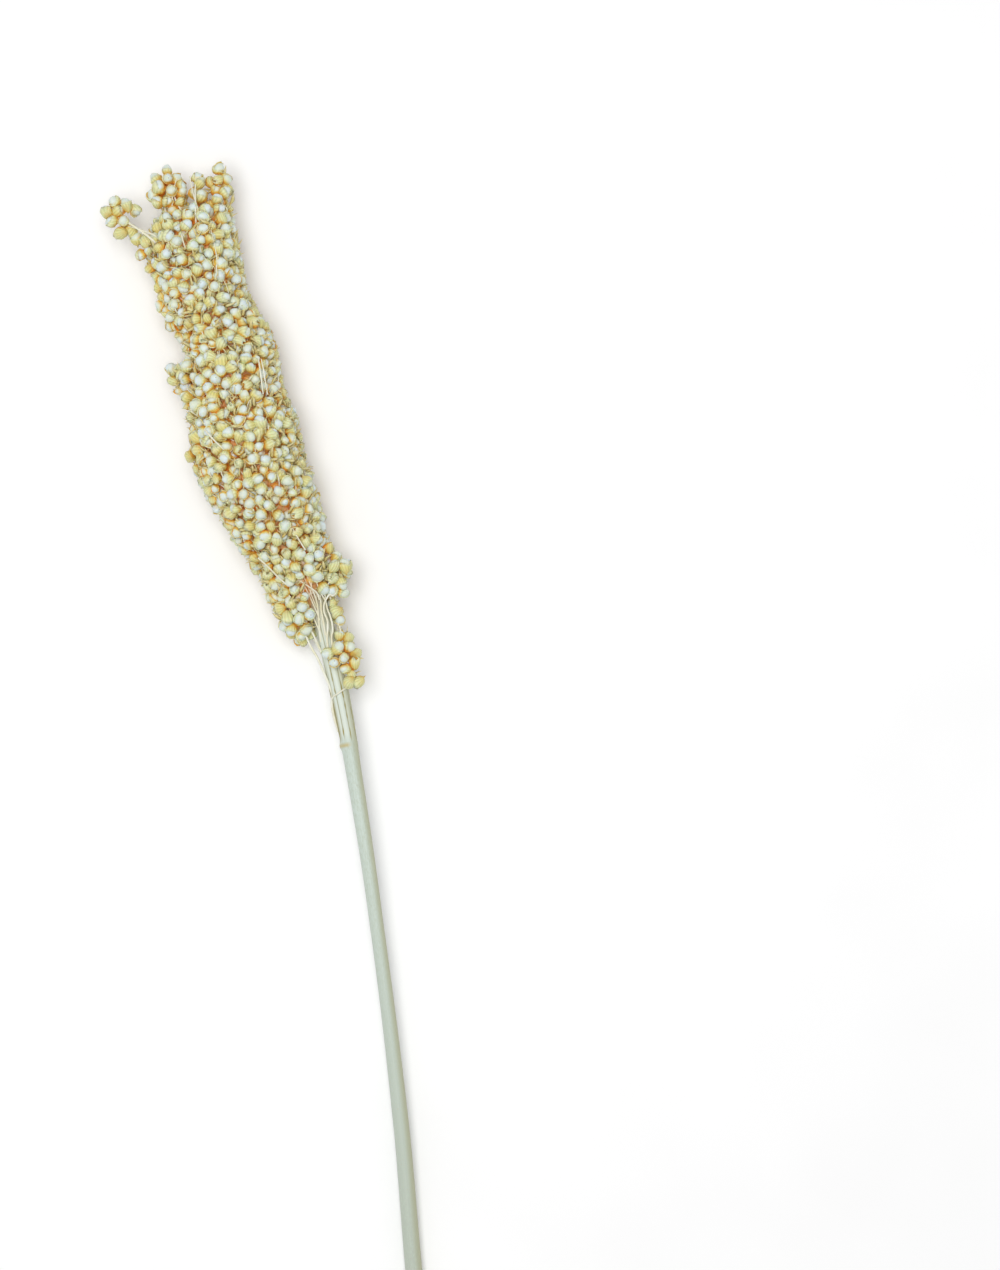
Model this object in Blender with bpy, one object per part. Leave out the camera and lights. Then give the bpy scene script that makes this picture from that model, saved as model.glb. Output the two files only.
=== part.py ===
"""Sorghum seed head on its cut stem, dried, lying on its side on a surface.

The plant lies along +Y: the stem's cut end is at the low end and the tip of the head at the
high end. +Z is up from the surface, which is z = 0. The origin is on that surface, under the
middle of the whole plant.

Two bodies are made:
  stem       the culm, the collar where the lowest branches leave it, the ribbed neck above the
             collar, and the rachis that runs on up inside the head
  seed_head  the grains, packed round a core that has a plain hole for the rachis, with the
             loose sprays at the tip, at the side and round the neck

Grains are drawn larger than life here, so that they still cover the head with few faces.
All sizes are in millimetres and become metres where a mesh is made.
"""

import math
import random

import bmesh
import bpy
from mathutils import Vector

MM = 0.001
WELD = 0.01
SEED = 7

# Plant frame: y runs from the cut end, x from the straight line between cut end and tip.
MIDDLE_OF_PLANT = Vector((-1.1, 225.9, 0.0))

# Centre line of the stem from the cut end to the top of the rachis: (x, y, height).
STEM_LINE = [
    (1.0, 0.0, 3.3),
    (8.9, 80.0, 6.9),
    (14.4, 155.0, 10.6),
    (17.2, 215.0, 13.6),
    (17.6, 250.0, 15.2),
    (15.5, 285.0, 16.8),
    (6.0, 330.0, 18.6),
    (-1.0, 375.0, 18.4),
    (-3.5, 425.0, 17.2),
]
# Radius of the stem along the same y.
STEM_RADII = [
    (0.0, 3.3),
    (60.0, 3.1),
    (130.0, 2.65),
    (190.0, 2.8),
    (222.0, 3.1),
    (240.0, 3.5),
    (262.0, 3.9),
    (290.0, 3.5),
    (320.0, 2.6),
    (425.0, 1.3),
]
STEM_SIDES = 24
STEM_EDGE = math.radians(50)
STEM_STEP = 16.0
NECK_STEP = 5.0
COLLAR_Y = 225.0
COLLAR_HALF_LENGTH = 2.6
COLLAR_SWELL = 0.55
RIBS = 8
RIB_HEIGHT = 0.45
NECK_TOP = 300.0

# The head's outline, seen from above and from the side: (y, left, right, bottom, top).
HEAD_OUTLINE = [
    (266.0, 2.5, 13.5, 6.0, 22.0),
    (274.0, -1.0, 17.0, 4.0, 26.0),
    (282.0, -3.0, 23.5, 3.0, 28.5),
    (292.0, -5.0, 29.0, 1.0, 31.0),
    (302.0, -8.5, 27.0, -1.2, 34.5),
    (314.0, -13.0, 25.5, -2.2, 37.0),
    (326.0, -18.0, 25.5, -2.2, 38.5),
    (338.0, -21.5, 23.5, -2.2, 40.0),
    (350.0, -20.5, 23.0, -2.2, 40.0),
    (362.0, -20.5, 20.5, -2.2, 38.5),
    (374.0, -21.5, 21.0, -2.2, 38.5),
    (386.0, -17.5, 19.5, -2.2, 37.0),
    (398.0, -21.5, 15.5, -2.2, 36.5),
    (410.0, -22.0, 14.0, -2.2, 35.0),
    (422.0, -24.0, 14.5, -1.5, 34.5),
    (434.0, -20.5, 14.0, 0.5, 32.0),
    (442.0, -16.5, 12.5, 3.0, 28.0),
]
HEAD_BASE = 266.0
HEAD_TIP = 442.0
BASE_ROUNDING = 8.0
TIP_ROUNDING = 14.0
LEAST_HALF_SIZE = 0.5

# Low lumps on the upper side, which wind round the head as they run along it.
LUMP = 1.6
LUMPS_ROUND = 3
LUMP_TWIST = 9.0
LUMP_LENGTH = 11.0

# The lower half of a section is an ellipse squared off by this power, where the head lies.
UNDERSIDE_POWER = 0.75

# Grains on the skin of the head, in rows round it.
GRAIN_PITCH = 7.3
LEAST_IN_ROW = 6
END_MARGIN = 1.5
ROW_PITCH = GRAIN_PITCH * math.sqrt(3) / 2
DOME_HEIGHT = 3.5
SHOULDER_HEIGHT = 2.4
SHOULDER_WIDTH = 0.74
DOME_VARIATION = 0.6
PLACE_VARIATION = 0.13

# Grains on the loose sprays, and the sprays: (stalk from root to tip, thickness at the root,
# thickness at the tip, grains, share of the stalk that is bare).
SPRAY_GRAIN = 2.6
STALK_RADIUS = 0.9
STALK_STEPS = 5
CORE_INSET = 1.5 * SPRAY_GRAIN
MOSTLY_BARE = 0.5
TIP_DRAWN_IN = 0.35
SPRAYS = [
    ([(-13, 418, 18), (-20, 427.5, 20), (-30, 439, 21)], 10.0, 14.0, 11, 0.6),
    ([(-7, 428, 17), (-9.5, 450.5, 18)], 13.0, 14.5, 12, 0.3),
    ([(1, 430, 17), (3, 448.0, 17)], 8.0, 8.0, 5, 0.4),
    ([(8, 430, 17), (10.5, 450.5, 17)], 8.0, 7.5, 6, 0.35),
    ([(-10, 368, 19), (-20.5, 375.5, 20)], 10.0, 11.5, 8, 0.35),
    ([(19, 302, 18), (28, 287, 18)], 11.0, 11.0, 8, 0.4),
    ([(22, 296, 15), (25.5, 278, 15), (24.5, 251, 17)], 10.0, 9.0, 17, 0.25),
    ([(18, 298, 12), (20, 272, 8)], 14.0, 10.0, 13, 0.25),
]
GOLDEN_TURN = math.radians(137.508)

# The hole for the rachis keeps this much clear of it all round.
CLEARANCE = 0.3
HOLE_SIDES = 10
HOLE_FROM = 236.0

STRAW = {"colour": (0.62, 0.66, 0.54, 1.0), "roughness": 0.55}
IVORY = {"colour": (0.66, 0.58, 0.33, 1.0), "roughness": 0.5}


def in_metres(point):
    """A point of the plant, in millimetres, as a place in the part's own frame."""
    return (Vector(point) - MIDDLE_OF_PLANT) * MM


def along(table, y):
    """The row of a table at y, smooth between its rows: a Catmull-Rom curve through them."""
    last = len(table) - 2
    i = max(0, min(last, sum(1 for row in table if row[0] <= y) - 1))
    rows = [table[max(0, min(last + 1, i + k))] for k in (-1, 0, 1, 2)]
    t = max(0.0, min(1.0, (y - rows[1][0]) / (rows[2][0] - rows[1][0])))
    return [
        0.5 * (2 * b + (c - a) * t + (2 * a - 5 * b + 4 * c - d) * t**2 + (3 * b - a - 3 * c + d) * t**3)
        for a, b, c, d in zip(*(row[1:] for row in rows))
    ]


def stem_centre(y):
    x, height = along([(row[1], row[0], row[2]) for row in STEM_LINE], y)
    return Vector((x, y, height))


def stem_radius(y):
    return along(STEM_RADII, y)[0]


def ring_frame(y):
    """Two directions across the stem at y, the second one nearly upright."""
    heading = (stem_centre(y + 1) - stem_centre(y - 1)).normalized()
    across = heading.cross(Vector((0, 0, 1))).normalized()
    return across, across.cross(heading)


def material(name, colour, roughness):
    made = bpy.data.materials.new(name)
    made.use_nodes = True
    shader = made.node_tree.nodes["Principled BSDF"]
    shader.inputs["Base Color"].default_value = colour
    shader.inputs["Roughness"].default_value = roughness
    shader.inputs["Metallic"].default_value = 0.0
    made.diffuse_color = colour
    return made


def object_from(bm, name, collection):
    mesh = bpy.data.meshes.new(name)
    bm.to_mesh(mesh)
    bm.free()
    made = bpy.data.objects.new(name, mesh)
    collection.objects.link(made)
    return made


def loft(rings):
    """A closed tube through rings of points that all have the same number of sides."""
    bm = bmesh.new()
    loops = [[bm.verts.new(in_metres(point)) for point in ring] for ring in rings]
    sides = len(loops[0])
    for low, high in zip(loops, loops[1:]):
        for i in range(sides):
            j = (i + 1) % sides
            bm.faces.new((low[i], low[j], high[j], high[i]))
    bm.faces.new(reversed(loops[0]))
    bm.faces.new(loops[-1])
    bmesh.ops.recalc_face_normals(bm, faces=bm.faces)
    return bm


def ring(y, radius_at, sides=STEM_SIDES):
    centre = stem_centre(y)
    across, up = ring_frame(y)
    points = []
    for i in range(sides):
        turn = math.tau * (i + 0.5) / sides
        points.append(centre + (across * math.cos(turn) + up * math.sin(turn)) * radius_at(y, turn))
    return points


def rib_height(y):
    """The neck's ribs rise from nothing at the collar and die away again up inside the head."""
    if not COLLAR_Y < y < NECK_TOP:
        return 0.0
    return RIB_HEIGHT * math.sqrt(math.sin(math.pi * (y - COLLAR_Y) / (NECK_TOP - COLLAR_Y)))


def stem_surface(y, turn):
    """Radius of the stem: round below the collar, swollen at it, and ribbed above it."""
    swell = COLLAR_SWELL * math.exp(-(((y - COLLAR_Y) / COLLAR_HALF_LENGTH) ** 2))
    return stem_radius(y) + swell + rib_height(y) * math.cos(RIBS * turn)


def stem_stations():
    """Where the stem has rings of points: close together at the collar and on the neck."""
    collar = [COLLAR_Y + k * COLLAR_HALF_LENGTH / 2 for k in (-4, -2, -1, 0, 1, 2)]
    stations = [k * STEM_STEP for k in range(int(collar[0] / STEM_STEP) + 1)]
    stations += collar
    y = collar[-1] + NECK_STEP / 2
    rachis_top = STEM_RADII[-1][0]
    while y < rachis_top:
        stations.append(y)
        y += NECK_STEP if y < NECK_TOP else STEM_STEP
    return stations + [rachis_top]


def build_stem(collection):
    """The culm, collar, ribbed neck and rachis, which grew as one piece."""
    stations = stem_stations()
    stem = object_from(loft([ring(y, stem_surface) for y in stations]), "stem", collection)
    stem.data.materials.append(material("bleached straw", **STRAW))
    stem.data.set_sharp_from_angle(angle=STEM_EDGE)
    return stem


def head_section(y):
    """Centre and half sizes of the head's section at y, closed to a round at both ends."""
    left, right, bottom, top = along(HEAD_OUTLINE, y)
    closing = 1.0
    for end, rounding in ((y - HEAD_BASE, BASE_ROUNDING), (HEAD_TIP - y, TIP_ROUNDING)):
        share = max(0.0, min(1.0, end / rounding))
        closing *= math.sqrt(1 - (1 - share) ** 2)
    centre = Vector(((left + right) / 2, y, (bottom + top) / 2))
    return centre, (right - left) / 2 * closing, (top - bottom) / 2 * closing


def head_point(y, turn, depth=0.0):
    """A point on the head, or a depth under it. Lumps stay off its measured sides."""
    centre, half_width, half_height = head_section(y)
    across, up = math.cos(turn), math.sin(turn)
    lump = LUMP * math.sin(LUMPS_ROUND * turn + y / LUMP_TWIST) * math.sin(y / LUMP_LENGTH + 1) * up**2
    if up < 0:
        lump, up = 0.0, -(abs(up) ** UNDERSIDE_POWER)
    side = across * max(LEAST_HALF_SIZE, half_width + lump - depth)
    return centre + Vector((side, 0, up * max(LEAST_HALF_SIZE, half_height + lump - depth)))


def grain_rows(rng):
    """Rows of grain centres up the head, each a list of (turn, point) in order round it."""
    rows = []
    y = HEAD_BASE + END_MARGIN
    ahead = 0.5
    while y < HEAD_TIP - END_MARGIN:
        _, half_width, half_height = head_section(y)
        _, next_width, next_height = head_section(y + ahead)
        round_it = math.pi * (half_width + half_height - 2 * DOME_HEIGHT)
        count = max(LEAST_IN_ROW, round(round_it / GRAIN_PITCH))
        phase = rng.random()
        row = []
        for k in range(count):
            turn = math.tau * (k + phase + rng.uniform(-1, 1) * PLACE_VARIATION) / count
            place = y + rng.uniform(-1, 1) * PLACE_VARIATION * ROW_PITCH
            row.append((turn, head_point(place, turn, DOME_HEIGHT)))
        rows.append(row)
        steepness = (next_width + next_height - half_width - half_height) / 2 / ahead
        y += ROW_PITCH / math.hypot(1.0, steepness)
    return rows


def zip_rows(bm, low, high):
    """Triangles between two rows with different numbers of grains."""
    i = j = 0
    while i < len(low) or j < len(high):
        next_low = low[i + 1][0] if i + 1 < len(low) else low[0][0] + math.tau
        next_high = high[j + 1][0] if j + 1 < len(high) else high[0][0] + math.tau
        a, b = low[i % len(low)][1], high[j % len(high)][1]
        if j >= len(high) or (i < len(low) and next_low <= next_high):
            bm.faces.new((a, low[(i + 1) % len(low)][1], b))
            i += 1
        else:
            bm.faces.new((a, high[(j + 1) % len(high)][1], b))
            j += 1


def grain_net(rng):
    """A closed net of triangles with one grain centre at each corner."""
    bm = bmesh.new()
    rows = [
        [(turn, bm.verts.new(in_metres(point))) for turn, point in row] for row in grain_rows(rng)
    ]
    for low, high in zip(rows, rows[1:]):
        zip_rows(bm, low, high)
    for row, y in ((rows[0], HEAD_BASE), (rows[-1], HEAD_TIP)):
        pole = bm.verts.new(in_metres(head_section(y)[0]))
        for k in range(len(row)):
            bm.faces.new((row[k][1], row[(k + 1) % len(row)][1], pole))
    bmesh.ops.recalc_face_normals(bm, faces=bm.faces)
    return bm


def cells_of(net, collection):
    """The net's dual mesh, in which every grain has a cell of its own."""
    tree = bpy.data.node_groups.new("grain cells", "GeometryNodeTree")
    tree.interface.new_socket("Geometry", in_out="INPUT", socket_type="NodeSocketGeometry")
    tree.interface.new_socket("Geometry", in_out="OUTPUT", socket_type="NodeSocketGeometry")
    dual = tree.nodes.new("GeometryNodeDualMesh")
    tree.links.new(tree.nodes.new("NodeGroupInput").outputs[0], dual.inputs[0])
    tree.links.new(dual.outputs[0], tree.nodes.new("NodeGroupOutput").inputs[0])
    holder = object_from(net, "net of grains", collection)
    holder.modifiers.new("cells", "NODES").node_group = tree
    graph = bpy.context.evaluated_depsgraph_get()
    bm = bmesh.new()
    bm.from_object(holder, graph)
    bpy.data.objects.remove(holder)
    return bm


def raise_grains(bm, rng):
    """Each cell becomes a domed grain: walled, narrowed at its shoulder, then peaked."""
    bmesh.ops.recalc_face_normals(bm, faces=bm.faces)
    tops = bmesh.ops.extrude_discrete_faces(bm, faces=bm.faces[:])["faces"]
    for top in tops:
        centre, outward = top.calc_center_median(), top.normal.copy()
        rise = SHOULDER_HEIGHT + rng.uniform(-1, 1) * DOME_VARIATION
        for corner in top.verts:
            corner.co = centre.lerp(corner.co, SHOULDER_WIDTH) + outward * rise * MM
    bmesh.ops.poke(bm, faces=tops, offset=(DOME_HEIGHT - SHOULDER_HEIGHT) * MM)
    return bm


def stalk_point(stalk, share):
    """A point on a stalk, a share of the way from its root to its tip."""
    spans = [(Vector(a), Vector(b)) for a, b in zip(stalk, stalk[1:])]
    left = share * sum((b - a).length for a, b in spans)
    for a, b in spans:
        if left <= (b - a).length:
            return a.lerp(b, left / (b - a).length)
        left -= (b - a).length
    return spans[-1][1]


def add_stalk(stalk, root_radius, tip_radius, name, collection):
    """A tapered core that carries a spray's grains."""
    curve = bpy.data.curves.new(name, "CURVE")
    curve.dimensions = "3D"
    curve.bevel_depth = MM
    curve.bevel_resolution = 1
    curve.use_fill_caps = True
    spline = curve.splines.new("POLY")
    spline.points.add(STALK_STEPS)
    for k, point in enumerate(spline.points):
        share = k / STALK_STEPS
        point.co = (*in_metres(stalk_point(stalk, share)), 1)
        point.radius = root_radius + (tip_radius - root_radius) * share
    holder = bpy.data.objects.new(name, curve)
    collection.objects.link(holder)
    bpy.context.view_layer.update()
    graph = bpy.context.evaluated_depsgraph_get()
    bm = bmesh.new()
    bm.from_mesh(bpy.data.meshes.new_from_object(holder.evaluated_get(graph)))
    bmesh.ops.remove_doubles(bm, verts=bm.verts, dist=WELD * MM)
    bmesh.ops.recalc_face_normals(bm, faces=bm.faces)
    bpy.data.objects.remove(holder)
    object_from(bm, name, collection)


def add_grain(centre, radius, name, collection, rng):
    """One loose grain: a ball of twenty faces, turned at random."""
    bm = bmesh.new()
    bmesh.ops.create_icosphere(bm, subdivisions=1, radius=radius * MM)
    made = object_from(bm, name, collection)
    made.location = in_metres(centre)
    made.rotation_euler = [rng.uniform(0, math.tau) for _ in range(3)]


def add_spray(number, spray, collection, rng):
    """A stalk with grains wound round it at the golden angle."""
    stalk, root_width, tip_width, grains, bare = spray
    heading = (Vector(stalk[-1]) - Vector(stalk[0])).normalized()
    across = heading.cross(Vector((0, 0, 1))).normalized()
    up = across.cross(heading)
    core = [max(STALK_RADIUS, width / 2 - CORE_INSET) for width in (root_width, tip_width)]
    if bare > MOSTLY_BARE:
        core[0] = STALK_RADIUS
    add_stalk(stalk, *core, f"stalk {number}", collection)
    for k in range(grains):
        share = (k + 0.5) / grains
        width = root_width + (tip_width - root_width) * share
        offset = (width / 2 - SPRAY_GRAIN) * (1 - TIP_DRAWN_IN * share**6)
        turn = GOLDEN_TURN * (k + number)
        place = stalk_point(stalk, bare + (1 - bare) * share)
        place += (across * math.cos(turn) + up * math.sin(turn)) * offset
        add_grain(place, SPRAY_GRAIN, f"grain {number} {k}", collection, rng)


def boolean(target, name, operation, other=None, collection=None):
    """Applies one Boolean to the target's mesh, by the solver that takes so many bodies at once."""
    modifier = target.modifiers.new(name, "BOOLEAN")
    modifier.operation = operation
    modifier.solver = "MANIFOLD"
    if collection:
        modifier.operand_type = "COLLECTION"
        modifier.collection = collection
    else:
        modifier.object = other
    bpy.context.view_layer.update()
    graph = bpy.context.evaluated_depsgraph_get()
    made = bpy.data.meshes.new_from_object(target.evaluated_get(graph))
    target.modifiers.clear()
    target.data = made


def drop_scraps(made):
    """Keeps the largest body: a grain that the hole cut off would hang loose."""
    bm = bmesh.new()
    bm.from_mesh(made.data)
    left, bodies = set(bm.verts), []
    while left:
        body, reached = set(), [left.pop()]
        while reached:
            corner = reached.pop()
            body.add(corner)
            near = [edge.other_vert(corner) for edge in corner.link_edges]
            reached += [other for other in near if other in left]
            left.difference_update(near)
        bodies.append(body)
    largest = max(bodies, key=len)
    loose = [corner for corner in bm.verts if corner not in largest]
    bmesh.ops.delete(bm, geom=loose, context="VERTS")
    bm.to_mesh(made.data)
    bm.free()


def hole_surface(y, _turn):
    """Radius at the hole's corners, which leaves the clearance at its flats."""
    return (stem_radius(y) + rib_height(y) + CLEARANCE) / math.cos(math.pi / HOLE_SIDES)


def build_seed_head(collection, helpers):
    """All the grains as one body, with a plain hole that the neck and the rachis stand in."""
    rng = random.Random(SEED)
    skin = raise_grains(cells_of(grain_net(rng), helpers), rng)
    head = object_from(skin, "seed_head", collection)
    for number, spray in enumerate(SPRAYS):
        add_spray(number, spray, helpers, rng)
    boolean(head, "sprays", "UNION", collection=helpers)
    for helper in list(helpers.objects):
        bpy.data.objects.remove(helper)
    stations = [y for y in stem_stations() if y > HOLE_FROM]
    stations[-1] += CLEARANCE
    rings = [ring(y, hole_surface, HOLE_SIDES) for y in stations]
    hole = object_from(loft(rings), "hole", helpers)
    boolean(head, "hole for the rachis", "DIFFERENCE", other=hole)
    bpy.data.objects.remove(hole)
    drop_scraps(head)
    for corner in head.data.vertices:
        corner.co.z = max(corner.co.z, 0.0)  # the lowest grains lie flat on the surface
    head.data.materials.clear()
    head.data.materials.append(material("ivory grain", **IVORY))
    return head


def main():
    for old in list(bpy.data.objects):
        bpy.data.objects.remove(old)
    plant = bpy.data.collections.new("sorghum seed head")
    helpers = bpy.data.collections.new("joined shapes")
    for collection in (plant, helpers):
        bpy.context.scene.collection.children.link(collection)
    build_stem(plant)
    build_seed_head(plant, helpers)
    bpy.data.collections.remove(helpers)


main()
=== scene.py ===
# %% [markdown]
# # A dried sorghum seed head, lying on a pale surface
# Sorghum carries its grain in a dense, upright panicle: one stem runs up the middle, and from it grow many
# thin branches, each with a cluster of round grains. This head was dried and bleached, so that its stem is
# nearly white with a breath of green, its grains are bluish white, and the glumes that hold them are straw
# yellow. Deep between the grains the straw turns a warm orange, partly its own less bleached colour and
# partly painted shade.
#
# The lesson builds it from the inside out: first the room that the grains fill, then the grains,
# their glumes, the empty husks, the branches that show between them, and last the stem.

# %% The frame
import math
import random

import bmesh
import bpy
import numpy as np
from mathutils import Euler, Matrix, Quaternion, Vector
from mathutils.kdtree import KDTree


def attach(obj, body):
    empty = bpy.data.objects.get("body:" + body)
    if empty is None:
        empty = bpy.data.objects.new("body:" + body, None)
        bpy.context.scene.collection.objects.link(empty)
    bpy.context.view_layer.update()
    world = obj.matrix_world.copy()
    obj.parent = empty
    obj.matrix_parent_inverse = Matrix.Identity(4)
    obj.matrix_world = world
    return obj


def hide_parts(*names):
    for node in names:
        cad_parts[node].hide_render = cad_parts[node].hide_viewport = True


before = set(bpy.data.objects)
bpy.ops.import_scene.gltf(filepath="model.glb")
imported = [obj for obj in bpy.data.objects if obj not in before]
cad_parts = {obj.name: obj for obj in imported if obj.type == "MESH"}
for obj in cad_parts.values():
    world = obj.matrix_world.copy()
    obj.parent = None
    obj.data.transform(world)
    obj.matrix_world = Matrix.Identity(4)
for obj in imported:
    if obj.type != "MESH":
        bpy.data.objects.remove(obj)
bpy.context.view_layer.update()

MM = 0.001

# %% [markdown]
# ## Where things are
# All places below are in the plant's own measure, in millimetres: y runs from the stem's cut end
# to the tip of the head, x across it, and z up from the surface. Two short tables describe the
# plant, the same that shaped the solids: the stem's centre line and thickness, and the outline
# of the head. A Catmull-Rom curve joins their rows, so a few rows are enough for a smooth form.

# %% The plant's measure
MIDDLE_OF_PLANT = np.array((-1.1, 225.9, 0.0))

# (y, x, height, radius) of the stem and of the rachis inside the head
STEM = np.array([
    (0.0, 1.0, 3.3, 3.3),
    (80.0, 8.9, 6.9, 3.0),
    (155.0, 14.4, 10.6, 2.65),
    (215.0, 17.2, 13.6, 3.0),
    (250.0, 17.6, 15.2, 3.6),
    (285.0, 15.5, 16.8, 3.5),
    (330.0, 6.0, 18.6, 2.4),
    (375.0, -1.0, 18.4, 1.9),
    (425.0, -3.5, 17.2, 1.3),
])

# (y, left, right, bottom, top) of the head
HEAD = np.array([
    (266.0, 2.5, 13.5, 6.0, 22.0),
    (274.0, -1.0, 17.0, 4.0, 26.0),
    (282.0, -3.0, 23.5, 3.0, 28.5),
    (292.0, -5.0, 29.0, 1.0, 31.0),
    (302.0, -8.5, 27.0, -1.2, 34.5),
    (314.0, -13.0, 25.5, -2.2, 37.0),
    (326.0, -18.0, 25.5, -2.2, 38.5),
    (338.0, -21.5, 23.5, -2.2, 40.0),
    (350.0, -20.5, 23.0, -2.2, 40.0),
    (362.0, -20.5, 20.5, -2.2, 38.5),
    (374.0, -19.0, 21.0, -2.2, 38.5),
    (386.0, -16.0, 19.5, -2.2, 37.0),
    (398.0, -21.5, 15.5, -2.2, 36.5),
    (410.0, -22.0, 14.0, -2.2, 35.0),
    (422.0, -24.0, 14.5, -1.5, 34.5),
    (434.0, -20.5, 14.0, 0.5, 32.0),
    (442.0, -16.5, 12.5, 3.0, 28.0),
])
BASE_ROUNDING = 8.0
TIP_ROUNDING = 14.0
UNDERSIDE_POWER = 0.75


def along(table, y):
    """The rows of a table at every y given, smooth between the rows that it has."""
    y = np.atleast_1d(y)
    last = len(table) - 2
    i = np.clip(np.searchsorted(table[:, 0], y, side="right") - 1, 0, last)
    a, b, c, d = (table[np.clip(i + k, 0, last + 1), 1:] for k in (-1, 0, 1, 2))
    t = np.clip((y - table[i, 0]) / (table[i + 1, 0] - table[i, 0]), 0, 1)[:, None]
    return 0.5 * (2 * b + (c - a) * t + (2 * a - 5 * b + 4 * c - d) * t**2 + (3 * b - a - 3 * c + d) * t**3)


def in_metres(points):
    """Places in the plant's measure as places in the frame."""
    return (np.asarray(points, dtype=float) - MIDDLE_OF_PLANT) * MM


def in_plant(points):
    """Places in the frame as places in the plant's measure."""
    return np.asarray(points, dtype=float) / MM + MIDDLE_OF_PLANT


print("head:", HEAD[-1, 0] - HEAD[0, 0], "mm long, stem:", STEM[-1, 0], "mm with the rachis")

# %% [markdown]
# ## The room that the grains fill
# A grain belongs in the head where it lies deep enough under the outline. So the form is kept as
# a rule that answers one question for any point: how many millimetres is it under the outside?
# The main body is a row of ellipses. The loose sprays at the tip, at the side and at the neck are chains of
# balls, joined by taking the deeper answer. The same rule later tints the plant warmer with depth, partly
# because straw that lay deep in the head was bleached less and partly as painted shade.

# %% Depth under the outside
# Each spray: (x, y, z, radius) from its root to its tip
SPRAYS = {
    "stray": [(-32.0, 440.0, 21.5, 4.9), (-27.6, 440.4, 21.5, 5.4), (-27.2, 435.0, 21.0, 4.0)],
    "shoulder": [(-13.5, 418.0, 18.0, 6.5), (-18.5, 425.5, 19.5, 6.6), (-22.4, 425.0, 20.0, 4.6)],
    "tip_left": [(-7.0, 432.0, 17.0, 7.0), (-9.3, 446.5, 18.0, 7.6), (-9.0, 449.0, 18.0, 5.4)],
    "tip_middle": [(0.5, 432.0, 17.0, 4.5), (1.8, 444.5, 18.0, 4.0)],
    "tip_right": [(7.5, 430.0, 17.0, 6.0), (9.8, 441.0, 17.5, 5.2), (10.8, 449.5, 18.0, 3.7)],
    "side": [(-12.0, 370.0, 19.0, 7.0), (-18.4, 374.6, 20.0, 5.6)],
    "side_low": [(-14.0, 340.0, 19.0, 7.0), (-17.5, 345.0, 21.0, 5.6)],
    "right_lump": [(19.0, 300.0, 18.0, 6.5), (26.0, 291.0, 19.0, 6.4)],
    "chain": [
        (21.5, 290.0, 18.0, 4.4),
        (23.2, 281.0, 18.0, 3.1),
        (23.6, 272.0, 18.5, 3.1),
        (24.0, 266.0, 19.0, 3.8),
        (22.0, 259.6, 20.5, 6.8),
        (25.0, 250.4, 19.0, 4.2),
    ],
    "under_neck": [(18.0, 296.0, 12.0, 6.5), (19.0, 276.0, 9.5, 4.8)],
}
# The skin lies a little under the outline, and its waves go so much deeper and back
SKIN_UNDER = 0.2
WAVE = 0.8


def skin_wave(y, turn):
    """Broad waves along and round the head with finer ones on them, from -1 to 1."""
    wave = 0.6 * np.sin(y / 5.1 + 2.0 * np.sin(turn * 2 + 1)) * np.sin(3 * turn + y / 8.3)
    return wave + 0.4 * np.sin(y / 1.9 + 3.0 * np.sin(turn * 3)) * np.sin(7 * turn + y / 3.1)


def head_depth(points):
    """Depth under the head's main body, in millimetres, with low waves on its skin."""
    x, y, z = points.T
    left, right, bottom, top = along(HEAD, y).T
    closing = np.ones_like(y)
    for end, rounding in ((y - HEAD[0, 0], BASE_ROUNDING), (HEAD[-1, 0] - y, TIP_ROUNDING)):
        closing *= np.sqrt(1 - (1 - np.clip(end / rounding, 0, 1)) ** 2)
    half_width = np.maximum((right - left) / 2 * closing, 0.01)
    half_height = np.maximum((top - bottom) / 2 * closing, 0.01)
    across = (x - (left + right) / 2) / half_width
    up = (z - (top + bottom) / 2) / half_height
    power = np.where(up < 0, 1 / UNDERSIDE_POWER, 1.0)
    share = np.sqrt(across**2 + np.abs(up) ** (2 * power))
    wave = skin_wave(y, np.arctan2(up, across))
    return (1 - share) * (half_width + half_height) / 2 - SKIN_UNDER - WAVE * (1 + wave)


def spray_depth(points, balls):
    """Depth under a chain of balls whose size changes evenly from one to the next."""
    balls = np.array(balls)
    deepest = np.full(len(points), -np.inf)
    for a, b in zip(balls, balls[1:]):
        span = b[:3] - a[:3]
        t = np.clip((points - a[:3]) @ span / (span @ span), 0, 1)
        radius = a[3] + (b[3] - a[3]) * t
        gap = np.linalg.norm(points - a[:3] - t[:, None] * span, axis=1)
        deepest = np.maximum(deepest, radius - gap)
    return deepest


def depth_under(points):
    """Depth under the outside of the whole head, in millimetres."""
    deepest = head_depth(points)
    for balls in SPRAYS.values():
        deepest = np.maximum(deepest, spray_depth(points, balls))
    return deepest


def off_stem(points):
    """Distance from the surface of the stem, in millimetres."""
    x, z, radius = along(STEM, points[:, 1]).T
    return np.hypot(points[:, 0] - x, points[:, 2] - z) - radius


print("depth in the middle of the head:", depth_under(np.array([(0.0, 360.0, 19.0)])).round(1), "mm")
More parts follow.
